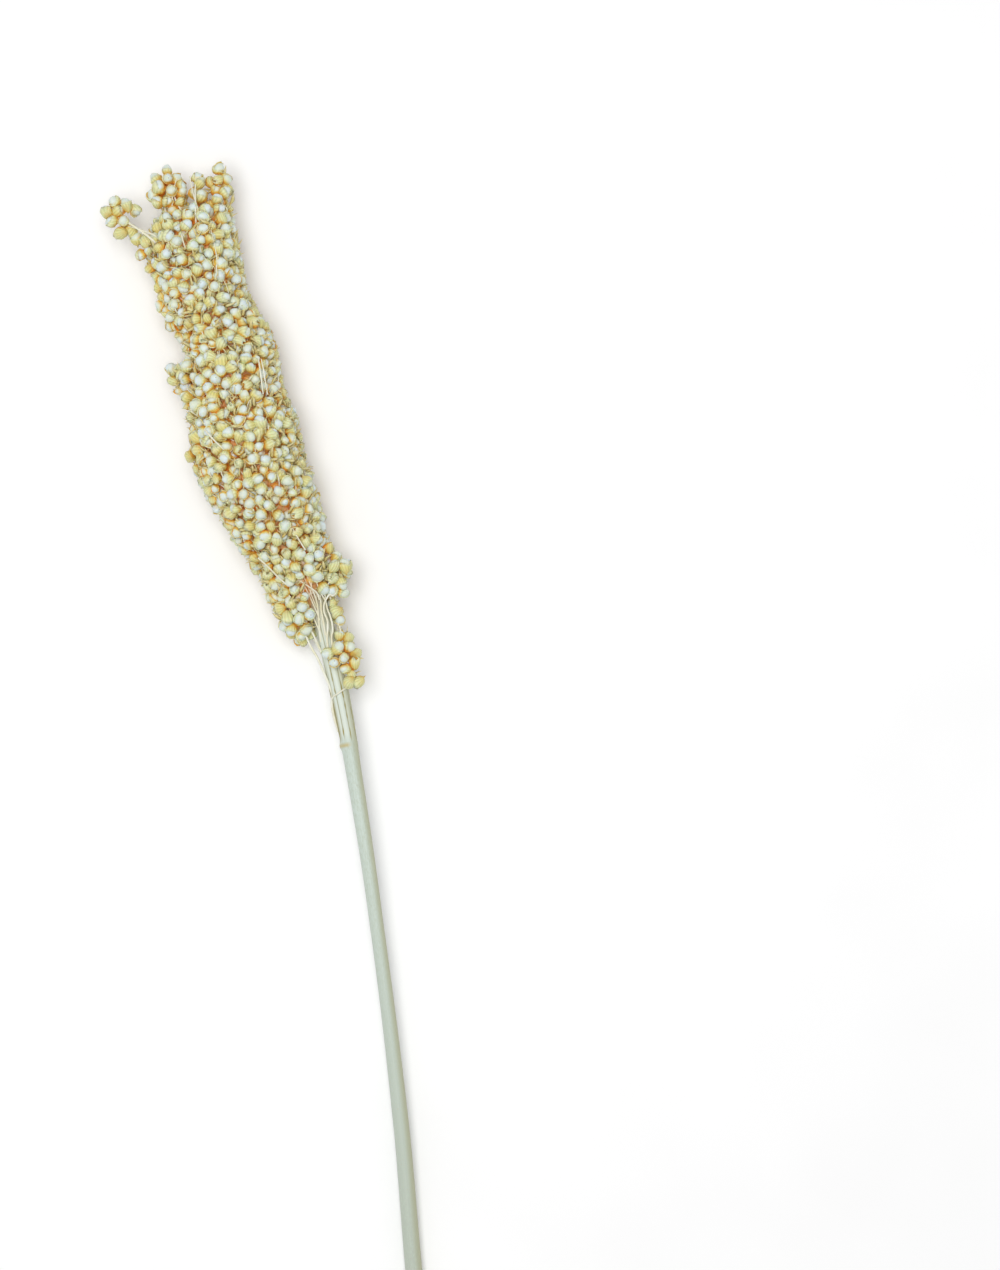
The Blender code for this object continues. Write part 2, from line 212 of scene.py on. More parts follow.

# %% [markdown]
# ## Grains that are listed one by one
# The sprays that stand out of the outline have few grains, and a grain too many or too few there changes
# their form. So each of those at their front is listed one by one. Behind them, where only their edges
# show, chance may still put some.

# %% Grains listed one by one
# Each grain is (x, y, z). The first groups fill the loose sprays, the last ones follow an edge.
SPRAY_GRAINS = {
    "stray": [
        (-30, 444.4, 21.8), (-25.8, 442.3, 22.6), (-23.1, 439.6, 20.6), (-33.5, 441.1, 21.6),
        (-29.2, 440.6, 22.2), (-32.4, 437.1, 22), (-28, 436.3, 23), (-29.9, 432.1, 21.6),
        (-26.2, 432.4, 20.4)],
    "left finger": [
        (-8.5, 452.7, 18.6), (-13.3, 450.3, 19), (-8.7, 449, 21.6), (-5.9, 448.9, 18.4),
        (-4.4, 445.7, 19.2), (-12.5, 446.5, 21.4), (-7.8, 444.1, 22.6), (-4.6, 443, 20),
        (-15.6, 444.3, 19), (-14.1, 441.2, 20.6), (-10.3, 440.6, 22.4), (-5.2, 439.2, 22.6)],
    "middle finger": [(2.1, 448, 18), (3.2, 445.3, 20.4), (0.2, 442.2, 19.2), (2.6, 440.2, 21.2)],
    "right finger": [
        (10.8, 449.6, 18.6), (9.9, 445.1, 20.4), (6.8, 445.2, 18), (12.8, 445.2, 18), (8.1, 441.6, 19.4),
        (11.8, 440.2, 20.2), (8.4, 437.9, 22)],
    "shoulder": [(-24.5, 429.2, 20.6), (-21.2, 427.2, 22.4), (-24.2, 422.9, 20.6), (-21, 423.4, 22.6)],
    "beside the neck": [
        (21.7, 279.5, 19), (22.3, 276, 18.8), (23.6, 272.4, 19), (22.1, 267, 19.6), (25.4, 265.5, 19.2),
        (20.7, 262.3, 22.6), (24.8, 262, 20.6), (26.8, 259, 19.4), (25.7, 255.8, 20.2), (16.5, 261, 22.2),
        (18.4, 257.2, 22.4), (22.3, 258.2, 22.8), (21.8, 254.3, 20.8), (23.8, 251.7, 19.4),
        (22.2, 248.6, 19.4), (25.6, 248.2, 18.6)],
    "left side": [
        (-21.1, 378.2, 20), (-21.5, 374, 18.6), (-19.7, 369.5, 19.6), (-16.1, 372.6, 26),
        (-14.6, 377.4, 27.6), (-17.2, 366.6, 24)],
    "left edge": [
        (-13.6, 385.1, 20.4), (-15.2, 389.6, 20), (-18.4, 394.4, 19.6), (-17.9, 399.4, 21),
        (-20.4, 402.5, 19), (-19, 406, 21), (-19.2, 409.6, 19), (-19.6, 413.4, 20.6),
        (-21.8, 417.2, 19.4)],
    "right edge": [(29.2, 289.9, 19), (26.7, 286.1, 20.4), (22.8, 284, 21), (26.6, 282.6, 18.6)],
}
SET_BY_HAND = np.array([place for places in SPRAY_GRAINS.values() for place in places])
print(len(SET_BY_HAND), "grains are set by hand")

# %% [markdown]
# ## Where the other grains may lie
# Two rules keep the other grains out of places where they would spoil the picture: in front of the neck,
# which is bare down to its branches, and in the loose sprays, except for what lies behind a listed grain,
# or under the neck.

# %% Open places
NECK_SEEN = (262.0, 290.0)
NECK_SEEN_HALF_WIDTH = 3.4
NECK_SPRAYS = {"below": 283.0, "right_of": 14.0}
TIP_SPRAYS_ABOVE = 437.0
STRAY_SPRAY = {"above": 421.0, "left_of": -20.0}
BEHIND = 18.0
HIDDEN_WITHIN = 1.6


def neck_is_clear(points):
    """False for the places that would hide the front of the neck, which the photo shows bare."""
    x, z, _ = along(STEM, points[:, 1]).T
    before = (points[:, 1] > NECK_SEEN[0]) & (points[:, 1] < NECK_SEEN[1]) & (points[:, 2] > z)
    return ~(before & (np.abs(points[:, 0] - x) < NECK_SEEN_HALF_WIDTH))


def open_to_darts(points):
    """False in the sprays, except behind the grains that are listed there."""
    x, y, z = points.T
    sprays = (y > TIP_SPRAYS_ABOVE) | ((x < STRAY_SPRAY["left_of"]) & (y > STRAY_SPRAY["above"]))
    sprays |= (y < NECK_SPRAYS["below"]) & (x > NECK_SPRAYS["right_of"])
    gaps = points[:, None, :2] - SET_BY_HAND[None, :, :2]
    behind = (np.einsum("ijk,ijk->ij", gaps, gaps).min(axis=1) < HIDDEN_WITHIN**2) & (z < BEHIND)
    under_the_neck = (y < NECK_SPRAYS["below"]) & (z < along(STEM, y)[:, 1])
    return (~sprays | behind | under_the_neck) & neck_is_clear(points)


print("open in the middle of the head:", bool(open_to_darts(np.array([(0.0, 360.0, 19.0)]))[0]))

# %% [markdown]
# ## Packing the grains
# Real grains push each other aside until they touch. Random darts do nearly the same: a grain is
# put at a random place and kept if it is clear of all that are there already. The darts go to the
# outermost layer first, so that the skin is as full as it can be, and then to layers further in,
# which show through the gaps. Between rounds of darts the grains push each other apart a little,
# which opens room for more of them.

# %% Grain places
GRAIN = 2.2
GRAIN_GAP = 3.6
ELBOW_ROOM = 0.35
PUSH = 0.35
STEPS_APART = 9
SEED = 11
DARTS = 150000
DART_ROUNDS = 4
DARTS_FROM, DARTS_TO = np.array((-39.0, 243.0, GRAIN)), np.array((34.0, 457.0, 41.0))
LAYERS = (3.0, 5.0, 7.5, 10.0)


def throw_darts(draw, places):
    """The places that are taken already, and new ones from the outermost layer in."""
    darts = DARTS_FROM + draw.random((DARTS, 3)) * (DARTS_TO - DARTS_FROM)
    depth = depth_under(darts)
    room = (depth > GRAIN * 0.8) & (depth < LAYERS[-1]) & (off_stem(darts) > GRAIN * 0.9)
    darts, layer = darts[room], np.searchsorted(LAYERS, depth[room])
    room = open_to_darts(darts)
    darts, layer = darts[room], layer[room]
    kept = np.empty((len(places) + len(darts), 3))
    count = len(places)
    kept[:count] = places
    for dart in darts[np.argsort(layer, kind="stable")]:
        gaps = kept[:count] - dart
        if np.min(np.einsum("ij,ij->i", gaps, gaps)) > GRAIN_GAP**2:
            kept[count] = dart
            count += 1
    return kept[:count]


def relax(places):
    """Crowded grains push each other apart, inside the outline. The listed grains don't move."""
    for _ in range(STEPS_APART):
        gaps = places[:, None, :] - places[None, :, :]
        far = np.sqrt(np.einsum("ijk,ijk->ij", gaps, gaps)) + np.eye(len(places)) * 99
        push = np.clip(GRAIN_GAP + ELBOW_ROOM - far, 0, 1) / far
        moved = places + PUSH * np.einsum("ij,ijk->ik", push, gaps)
        moved[:, 2] = np.maximum(moved[:, 2], GRAIN)
        fits = (depth_under(moved) > GRAIN * 0.8) & (off_stem(moved) > GRAIN * 0.8)
        fits &= open_to_darts(moved)
        fits[:len(SET_BY_HAND)] = False
        places = np.where(fits[:, None], moved, places)
    return places


def pack_grains():
    draw = np.random.default_rng(SEED)
    places = SET_BY_HAND
    for _ in range(DART_ROUNDS):
        places = relax(throw_darts(draw, places))
        print(len(places), "grains so far")
    return places


grain_places = pack_grains()
grain_depth = depth_under(grain_places)
print(len(grain_places), "grains,", int((grain_depth < LAYERS[0]).sum()), "of them in the skin")

# %% [markdown]
# ## Which way each grain points
# A grain sits at the end of a short stalk that comes from the inside and from below, so its free
# end leans outwards and up the head. But the grains crowd each other, and most of them lie over on
# one side, so that both the white kernel and its yellow glumes show. None points back inwards, for
# then its stalk would stand in the air. The outward direction is the way in which the depth falls
# fastest, which two nearby readings on each axis give.

# %% Grain directions
chance = random.Random(SEED)
LEAST_OUTWARD = 0.14


def outward(points, reach=1.5):
    """The direction in which the depth falls fastest, at each point."""
    steps = np.eye(3) * reach
    slope = np.stack([depth_under(points - s) - depth_under(points + s) for s in steps], axis=1)
    return slope / np.maximum(np.linalg.norm(slope, axis=1), 1e-6)[:, None]


def turned_to(direction, roll):
    """Euler angles that turn +Z to a direction, with a roll about it."""
    return (Vector(direction).to_track_quat("Z", "Y") @ Quaternion((0, 0, 1), roll)).to_euler()


def chance_direction():
    return np.array(Vector([chance.gauss(0, 1) for _ in range(3)]).normalized())


grain_turns = []
for way in outward(grain_places):
    pointing = 0.42 * way + np.array((0, 0.22, 0)) + 0.75 * chance_direction()
    pointing += way * max(0.0, LEAST_OUTWARD - pointing @ way)
    grain_turns.append(tuple(turned_to(pointing, chance.uniform(0, math.tau))))
print("first grain's turn:", [round(v, 2) for v in grain_turns[0]])

# %% [markdown]
# ## Colours and nodes
# Colours are noted as the sRGB values that a screen shows. Blender's shaders want linear light,
# and one function turns the one into the other. Another adds a node with its settings and links,
# so that each material and each Geometry Nodes tree below reads as a short list.

# %% Helpers for nodes


def linear(code):
    """An sRGB hex colour as linear RGBA."""
    parts = [int(code[k:k + 2], 16) / 255 for k in (1, 3, 5)]
    return (*(v / 12.92 if v <= 0.04045 else ((v + 0.055) / 1.055) ** 2.4 for v in parts), 1.0)


def add(tree, kind, settings=None, inputs=None):
    """One node, with its settings, and inputs that are values, colour codes or other nodes' sockets."""
    node = tree.nodes.new(kind)
    for name, value in (settings or {}).items():
        setattr(node, name, value)
    for name, value in (inputs or {}).items():
        if isinstance(value, bpy.types.NodeSocket):
            tree.links.new(value, node.inputs[name])
        elif isinstance(value, str) and value.startswith("#"):
            node.inputs[name].default_value = linear(value)
        else:
            node.inputs[name].default_value = value
    return node


def tinted(tree, colour, shade, value, low, high, most=1.0):
    """The colour, which turns to a shade as a value runs from low to high, at most so far."""
    share = add(tree, "ShaderNodeMapRange", None, {
        "Value": value, "From Min": low, "From Max": high, "To Max": most})
    mixed = add(tree, "ShaderNodeMix", {"data_type": "RGBA"}, {0: share.outputs[0], 6: colour, 7: shade})
    return mixed.outputs[2]


def blotches(tree, size_mm, detail=2.0):
    """Soft noise whose patches measure about so many millimetres."""
    place = add(tree, "ShaderNodeTexCoord").outputs["Object"]
    inputs = {"Vector": place, "Scale": 0.5 / (size_mm * MM), "Detail": detail}
    return add(tree, "ShaderNodeTexNoise", None, inputs).outputs["Fac"]


def new_finish(name, **constants):
    """A material with its shader, whose constant values are set on the shader's own sockets."""
    finish = bpy.data.materials.new(name)
    finish.use_nodes = True
    tree = finish.node_tree
    shader = tree.nodes["Principled BSDF"]
    for socket, value in constants.items():
        shader.inputs[socket.replace("_", " ")].default_value = value
    return finish, tree, shader


print("linear value of the middle grey #808080:", round(linear("#808080")[0], 3))

# %% [markdown]
# ## The finish of the grains
# The kernel is a starchy seed under a thin, dry seed coat: chalky, a little waxy, close to white.
# Bleaching left it bluish white. Painted shade turns its hidden sides cream, and a painted yellow near the
# glumes stands for the light that they throw onto it. The coat mottles softly over about a millimetre, and
# some grains keep the dark spot of the old style at their tip.
# The glumes are dry, papery scales with fine ribs that run from their base to their point, pale
# at the rim, where they are thinnest. Both let a little light through, as starch and straw do.
#
# Three attributes vary the finishes: "tone" is one chance value for each grain, "shade" says how closely
# other grains crowd round a spot and how far it turns from the sky, and "depth" is its depth in millimetres
# under the outside of the head. By the shade, painted shade turns the bluish white straw cream and then
# amber. Deep inside it turns a warm orange, partly the straw's own less bleached colour and partly painted
# shade. Where the shade is deepest the straw also gets a faint painted orange glow, though nothing there
# gives light.

# %% Grain finishes
# Painted shade: the straw turns cream and then amber as the shade attribute runs through these ranges, and
# orange with depth, which is partly its own less bleached colour and partly painted shade.
ORANGE_FROM, ORANGE_TO = 3.2, 6.5
CREAM_FROM, CREAM_TO = 0.12, 0.7
AMBER_FROM, AMBER_TO = 0.65, 1.7
# Strength of a painted orange glow in the shaded places, which are no lamp.
PAINTED_GLOW = 0.08
TIP_SPOT_SHARE = 0.3
GLUME_RIBS = 14


def skin_place(tree):
    """How far round and how far along its skin a point lies, from 0 to 1."""
    uv = add(tree, "ShaderNodeUVMap", {"uv_map": "skin"}).outputs[0]
    return add(tree, "ShaderNodeSeparateXYZ", None, {0: uv}).outputs[:2]


def paint_shade_and_glow(tree, shader, colour, cream, amber, deep):
    """Gives a shader its colour with painted shade: cream, then amber, where other grains crowd round,
    orange deep inside, partly as the straw's own colour, and a faint painted orange glow in the shade.
    """
    shade, depth = (add(tree, "ShaderNodeAttribute", {"attribute_name": name}).outputs["Fac"]
                    for name in ("shade", "depth"))
    # Painted shade: cream, then amber, where the shade attribute is high.
    colour = tinted(tree, colour, cream, shade, CREAM_FROM, CREAM_TO)
    colour = tinted(tree, colour, amber, shade, AMBER_FROM, AMBER_TO)
    # Orange with depth: partly the straw's own less bleached colour, partly painted shade.
    colour = tinted(tree, colour, deep, depth, ORANGE_FROM, ORANGE_TO)
    # A painted orange glow in the shaded places, though they give no light.
    painted_glow = add(tree, "ShaderNodeMapRange", None, {
        "Value": shade, "From Min": AMBER_FROM, "From Max": AMBER_TO, "To Max": PAINTED_GLOW})
    tree.links.new(colour, shader.inputs["Base Color"])
    tree.links.new(painted_glow.outputs[0], shader.inputs["Emission Strength"])
    shader.inputs["Emission Color"].default_value = linear("#FF8C20")


def raise_skin(tree, shader, height, strength, millimetres):
    """Lets a pattern stand out of the skin by so many millimetres."""
    bump = add(tree, "ShaderNodeBump", None, {
        "Strength": strength, "Distance": millimetres * MM, "Height": height})
    tree.links.new(bump.outputs[0], shader.inputs["Normal"])


def kernel_finish():
    """Starchy seed under a dry, waxy seed coat: chalky white with a soft shine."""
    finish, tree, shader = new_finish(
        "bleached sorghum kernel", Roughness=0.5, IOR=1.42, Subsurface_Weight=0.15,
        Subsurface_Radius=(1.0, 0.65, 0.35), Subsurface_Scale=0.0015)
    _, height = skin_place(tree)
    tone = add(tree, "ShaderNodeAttribute", {"attribute_name": "tone"}).outputs["Fac"]
    colour = tinted(tree, "#D4E1E6", "#DAE1D0", tone, 0.0, 1.0)
    colour = tinted(tree, colour, "#D0D9C2", blotches(tree, 1.1), 0.45, 0.75)
    # Painted reflection: the kernel's lower part turns yellow with the light that its glumes throw onto it.
    colour = tinted(tree, colour, "#DAD488", height, 0.62, 0.3)
    few = add(tree, "ShaderNodeMath", {"operation": "LESS_THAN"}, {0: tone, 1: TIP_SPOT_SHARE})
    colour = tinted(tree, colour, "#7A6A4A", height, 0.95, 1.0, few.outputs[0])
    paint_shade_and_glow(tree, shader, colour, "#DCC05C", "#E8942C", "#F4A848")
    raise_skin(tree, shader, blotches(tree, 0.8), 0.25, 0.2)
    return finish


def glume_finish(name, pale, yellow, rim):
    """Dry, papery straw: pale green-yellow with a silky shine, ribbed, and whitish at its rim."""
    finish, tree, shader = new_finish(
        name, Roughness=0.5, IOR=1.45, Subsurface_Weight=0.2,
        Subsurface_Radius=(1.0, 0.65, 0.3), Subsurface_Scale=0.0015)
    turn, height = skin_place(tree)
    tone = add(tree, "ShaderNodeAttribute", {"attribute_name": "tone"}).outputs["Fac"]
    ribs = add(tree, "ShaderNodeMath", {"operation": "MULTIPLY"}, {0: turn, 1: math.tau * GLUME_RIBS})
    ribs = add(tree, "ShaderNodeMath", {"operation": "SINE"}, {0: ribs.outputs[0]}).outputs[0]
    colour = tinted(tree, pale, yellow, tone, 0.4, 1.0)
    # Painted shade: the base of the cup turns a darker gold, where it lies hidden among the grains.
    colour = tinted(tree, colour, "#D8B862", height, 0.34, 0.08)
    colour = tinted(tree, colour, "#BAB570", ribs, 0.2, 1.6)
    colour = tinted(tree, colour, "#DACC84", blotches(tree, 1.6), 0.5, 0.8)
    colour = tinted(tree, colour, rim, height, 0.5, 0.73)
    paint_shade_and_glow(tree, shader, colour, "#D8B654", "#E48E28", "#F4A042")
    raise_skin(tree, shader, ribs, 0.4, 0.2)
    return finish


KERNEL_FINISH = kernel_finish()
GLUME_FINISH = glume_finish("papery straw glume", "#DADDA8", "#DCD284", "#E0E4BE")
HUSK_FINISH = glume_finish("golden straw husk", "#E8DA9E", "#E6C87A", "#EEE0A8")
print("finishes:", [finish.name for finish in (KERNEL_FINISH, GLUME_FINISH, HUSK_FINISH)])

# %% [markdown]
# ## Skins over rings
# Kernels, glumes, husks, the stem and the core are all round in some way. So each is a closed
# skin over rings of points, which needs fewer faces than a modelled ball or tube and lets a ring
# have any form. Its UV map says how far round and how far along a point lies.

# %% Skin over rings


def skin_over(rings):
    """A closed mesh over rings of points. A ring of one point is a pole."""
    bm = bmesh.new()
    layer = bm.loops.layers.uv.new("skin")
    loops = [[bm.verts.new(point) for point in ring] for ring in rings]
    sides = max(len(loop) for loop in loops)
    for k, (low, high) in enumerate(zip(loops, loops[1:])):
        for i in range(sides):
            corners = []
            for loop, row, steps in ((low, k, (i, i + 1)), (high, k + 1, (i + 1, i))):
                for step in steps[:len(loop)]:
                    corners.append((loop[step % len(loop)], step / sides, row / (len(loops) - 1)))
            face = bm.faces.new([corner for corner, _, _ in corners])
            for loop, (_, u, v) in zip(face.loops, corners):
                loop[layer].uv = (u, v)
            face.smooth = True
    bmesh.ops.recalc_face_normals(bm, faces=bm.faces)
    return bm


def mesh_object(bm, name):
    mesh = bpy.data.meshes.new(name)
    bm.to_mesh(mesh)
    bm.free()
    return bpy.data.objects.new(name, mesh)


def round_ring(radius, height, sides, wobble=None):
    """A ring of points, whose radius and height may change on the way round."""
    ring = []
    for i in range(sides):
        turn = math.tau * i / sides
        r, h = wobble(turn) if wobble else (radius, height)
        ring.append((r * math.cos(turn), r * math.sin(turn), h))
    return ring


print("a ring starts at", round_ring(1.0, 0.5, 9)[0])

# %% [markdown]
# ## The shapes that repeat
# A kernel is nearly a ball. Two glumes clasp it from below: together they make a cup with two
# pointed lobes, one on each side, that grew out of a short stalk. On a ripe grain the lobes stand
# low, on another one of them reaches over the shoulder, and an unripe grain stays shut in its
# glumes. All are copied more than a thousand times, so each has only a few dozen faces.

# %% Kernel, glumes and husk


def kernel_shape():
    """A ball a little flattened at its tip, 9 faces round and 6 high."""
    angles = [math.pi * k / 6 for k in range(1, 6)]
    rings = [round_ring(math.sin(angle), -0.97 * math.cos(angle), 9) for angle in angles]
    return mesh_object(skin_over([[(0, 0, -1)], *rings, [(0, 0, 0.95)]]), "kernel shape")


CUP_ANGLE = -20.0


def glume_shape(name, first, second, valley, flare):
    """A stalk and a cup with two lobes. The angles say how high its rim reaches, in degrees."""
    sides = 10

    def rim(radius, share, lowered=0.0):
        """A ring that lies at a share of the way from the cup to the rim."""
        def at(turn):
            peak = first if math.cos(turn) > 0 else second
            top = valley + (peak - valley) * abs(math.cos(turn)) ** 0.8 - lowered
            angle = math.radians(CUP_ANGLE + (top - CUP_ANGLE) * share)
            out = radius + flare * share * abs(math.cos(turn)) ** 3
            return out * math.cos(angle), out * math.sin(angle)
        return round_ring(0, 0, sides, at)

    return mesh_object(skin_over([
        [(0, 0, -1.55)],
        round_ring(0.18, -1.2, sides),
        round_ring(0.7, -0.9, sides),
        round_ring(1.04, -0.42, sides),
        rim(1.12, 0.5),
        rim(1.12, 1.0),
        rim(0.97, 1.0, 6.0),
        [(0, 0, -0.3)],
    ]), name)


def husk_shape():
    """An empty scale: a long, hollowed, pointed leaf that is a little thicker at its rib."""
    rings = [[(0, 0, 0)]]
    for k in range(1, 5):
        t = k / 5
        half = 0.36 * math.sin(math.pi * t**0.8) ** 0.9
        bend = 0.5 * t * t
        rings.append([(-half, bend + 0.16 * half, t * 2.1), (0, bend - 0.1, t * 2.1),
                      (half, bend + 0.16 * half, t * 2.1), (0, bend + 0.02, t * 2.1)])
    return mesh_object(skin_over(rings + [[(0, 0.55, 2.2)]]), "husk shape")


SHAPES = {
    "kernel": kernel_shape(),
    "low_glume": glume_shape("low glume shape", 30, 14, -16, 0.08),
    "one_sided_glume": glume_shape("one-sided glume shape", 58, 12, -14, 0.1),
    "high_glume": glume_shape("high glume shape", 50, 40, -6, 0.22),
    "shut_glume": glume_shape("shut glume shape", 84, 80, 20, 0.04),
    "husk": husk_shape(),
}
print({name: len(shape.data.polygons) for name, shape in SHAPES.items()}, "faces")

# %% [markdown]
# ## Copying a shape to its places
# A Geometry Nodes tree does the copying. It takes points that carry a turn, a size and a tone,
# puts the shape on each and makes the copies real, since instances don't survive an export. Noise
# in space then bends all of them a little, a kernel together with its glume, so that no two grains
# are alike, and they get their finish.

# %% The copying tree
WOBBLE = 1.3
WOBBLE_SIZE = 3.2


def new_tree(name, **sockets):
    """A Geometry Nodes tree with its named inputs."""
    tree = bpy.data.node_groups.new(name, "GeometryNodeTree")
    for socket, kind in sockets.items():
        tree.interface.new_socket(socket, in_out="INPUT", socket_type=f"NodeSocket{kind}")
    tree.interface.new_socket("Result", in_out="OUTPUT", socket_type="NodeSocketGeometry")
    return tree, add(tree, "NodeGroupInput").outputs


def end_tree(tree, geometry, finish):
    """Every tree ends alike: what it made is made real and gets its finish."""
    real = add(tree, "GeometryNodeRealizeInstances", None, {0: geometry})
    finished = add(tree, "GeometryNodeSetMaterial", None, {0: real.outputs[0], "Material": finish})
    add(tree, "NodeGroupOutput", None, {0: finished.outputs[0]})
    return tree


def copying_tree():
    tree, given = new_tree("copies of a shape", Points="Geometry", Shape="Object", Finish="Material",
                           Size="Float", Wobble="Float")
    shape = add(tree, "GeometryNodeObjectInfo", None, {"Object": given["Shape"]})
    turn = add(tree, "GeometryNodeInputNamedAttribute", {"data_type": "FLOAT_VECTOR"}, {"Name": "turn"})
    size = add(tree, "GeometryNodeInputNamedAttribute", {"data_type": "FLOAT_VECTOR"}, {"Name": "size"})
    scale = add(tree, "ShaderNodeVectorMath", {"operation": "SCALE"}, {
        0: size.outputs[0], "Scale": given["Size"]})
    copies = add(tree, "GeometryNodeInstanceOnPoints", None, {
        "Points": given["Points"],
        "Instance": shape.outputs["Geometry"],
        "Rotation": turn.outputs[0],
        "Scale": scale.outputs[0],
    })
    real = add(tree, "GeometryNodeRealizeInstances", None, {0: copies.outputs[0]})
    place = add(tree, "GeometryNodeInputPosition").outputs[0]
    noise = add(tree, "ShaderNodeTexNoise", None, {
        "Vector": place, "Scale": 1 / (WOBBLE_SIZE * MM), "Detail": 0.0}).outputs["Color"]
    centred = add(tree, "ShaderNodeVectorMath", {"operation": "SUBTRACT"}, {0: noise, 1: (0.5, 0.5, 0.5)})
    shift = add(tree, "ShaderNodeVectorMath", {"operation": "SCALE"}, {
        0: centred.outputs[0], "Scale": given["Wobble"]})
    bent = add(tree, "GeometryNodeSetPosition", None, {0: real.outputs[0], "Offset": shift.outputs[0]})
    return end_tree(tree, bent.outputs[0], given["Finish"])


def run_tree(tree, holder, name, **given):
    """Runs a tree on a holder's mesh and returns the result as a plain object."""
    modifier = holder.modifiers.new(name, "NODES")
    modifier.node_group = tree
    for item in tree.interface.items_tree:
        if item.in_out == "INPUT" and item.name in given:
            modifier[item.identifier] = given[item.name]
    bpy.context.scene.collection.objects.link(holder)
    graph = bpy.context.evaluated_depsgraph_get()
    mesh = bpy.data.meshes.new_from_object(
        holder.evaluated_get(graph), preserve_all_data_layers=True, depsgraph=graph)
    mesh.name = name
    bpy.data.objects.remove(holder)
    piece = bpy.data.objects.new(name, mesh)
    bpy.context.scene.collection.objects.link(piece)
    return piece


def set_attribute(mesh, name, kind, values):
    """Notes a value at each of a mesh's points."""
    field = {"FLOAT": "value", "FLOAT_VECTOR": "vector"}[kind]
    layer = mesh.attributes.new(name, kind, "POINT")
    layer.data.foreach_set(field, np.asarray(values, dtype=np.float32).ravel())


COPYING = copying_tree()
print("inputs of the copying tree:", [item.name for item in COPYING.interface.items_tree])

# %% [markdown]
# ## What each point of a grain knows
# After the copying, each vertex learns its own depth and shade, so that shade can be painted into its
# colour: one grain white on its outer side and warm on its inner one. An occlusion node in the material
# could find the shade too, but an export can't keep it. So the grains in front of each vertex are counted
# here, and what turns away from the sky gets some painted shade as well.

# %% Depth and shade
SHADE_REACH = 11.0
# Painted shade for what faces away from the sky, below SKYWARD.
TURNED_AWAY = 0.35
SKYWARD = 0.4
BLOCK = 64
LEAST_HEIGHT = 0.05

grain_tree = KDTree(len(grain_places))
for number, place in enumerate(grain_places):
    grain_tree.insert(place, number)
grain_tree.balance()


def shade_at(points, normals):
    """How much light the surroundings keep off each point: 0 is none, over 1 is nearly all.

    What turns away from the sky starts with some. Each grain in front counts by how large it looks
    from the point. Neighbouring points are taken in blocks, since they have the same grains around.
    """
    shade = TURNED_AWAY * np.clip(SKYWARD - normals[:, 2], 0, None)
    for start in range(0, len(points), BLOCK):
        block = slice(start, start + BLOCK)
        near = [index for _, index, _ in grain_tree.find_range(points[block].mean(axis=0), SHADE_REACH)]
        if near:
            away = grain_places[near][None] - points[block][:, None]
            far = np.maximum(np.linalg.norm(away, axis=2), GRAIN * 0.9)
            facing = np.einsum("ijk,ik->ij", away, normals[block]) / far
            shade[block] += (np.clip(facing, 0, 1) * (GRAIN / far) ** 2).sum(axis=1)
    return shade


def note_surroundings(mesh):
    """Notes at each vertex its depth and its shade. What lies on the surface stays above it."""
    count = len(mesh.vertices) * 3
    places, normals = np.empty(count), np.empty(count)
    mesh.vertices.foreach_get("co", places)
    mesh.vertices.foreach_get("normal", normals)
    places[2::3] = np.maximum(places[2::3], LEAST_HEIGHT * MM)
    mesh.vertices.foreach_set("co", places)
    points = in_plant(places.reshape(-1, 3))
    set_attribute(mesh, "depth", "FLOAT", depth_under(points))
    set_attribute(mesh, "shade", "FLOAT", shade_at(points, normals.reshape(-1, 3)))


def finish_piece(piece):
    """Rides on the plant's one body, and prints its number of triangles."""
    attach(piece, "root")
    mesh = piece.data
    mesh.calc_loop_triangles()
    print(piece.name, len(mesh.loop_triangles), "triangles")
    return piece


KERNEL_RADIUS = 2.17


def copies_of(shape, name, rows, finish, unit):
    """One piece that holds a shape at many places. Each row is (place, turn, size, tone)."""
    places, turns, sizes, tones = zip(*rows)
    mesh = bpy.data.meshes.new(name)
    mesh.from_pydata([tuple(p) for p in in_metres(places)], [], [])
    set_attribute(mesh, "turn", "FLOAT_VECTOR", turns)
    set_attribute(mesh, "size", "FLOAT_VECTOR", sizes)
    set_attribute(mesh, "tone", "FLOAT", tones)
    holder = bpy.data.objects.new(name + " points", mesh)
    piece = run_tree(COPYING, holder, name, Shape=SHAPES[shape], Finish=finish,
                     Size=unit * MM, Wobble=WOBBLE * MM)
    note_surroundings(piece.data)
    return finish_piece(piece)


top, skyward = np.array([(0.0, 360.0, 36.0)]), np.array([(0.0, 0.0, 1.0)])
print("shade near the top of the head:", shade_at(top, skyward).round(2))

# %% [markdown]
# ## Grains and glumes
# Each grain gets a size, near round but never quite, a tone, and a glume of one of four kinds.
# A grain in shut glumes needs no kernel, since nothing of it would show.

# %% Grains and glumes
GLUME_SHARES = {"low_glume": 0.36, "one_sided_glume": 0.28, "high_glume": 0.26, "shut_glume": 0.1}

grain_kinds = chance.choices(list(GLUME_SHARES), weights=GLUME_SHARES.values(), k=len(grain_places))
grain_sizes = []
for _ in grain_places:
    whole = chance.gauss(1.0, 0.06) * (0.84 if chance.random() < 0.1 else 1.0)
    grain_sizes.append([whole * share * chance.gauss(1.0, 0.04) for share in (0.95, 0.95, 1.1)])
grain_tones = [chance.random() for _ in grain_places]
grains = list(zip(grain_places, grain_turns, grain_sizes, grain_tones))


def grains_of(*kinds):
    return [grain for grain, kind in zip(grains, grain_kinds) if kind in kinds]


kernels = copies_of("kernel", "kernels", grains_of("low_glume", "one_sided_glume", "high_glume"),
                    KERNEL_FINISH, KERNEL_RADIUS)
for kind in GLUME_SHARES:
    copies_of(kind, kind + "s", grains_of(kind), GLUME_FINISH, KERNEL_RADIUS)

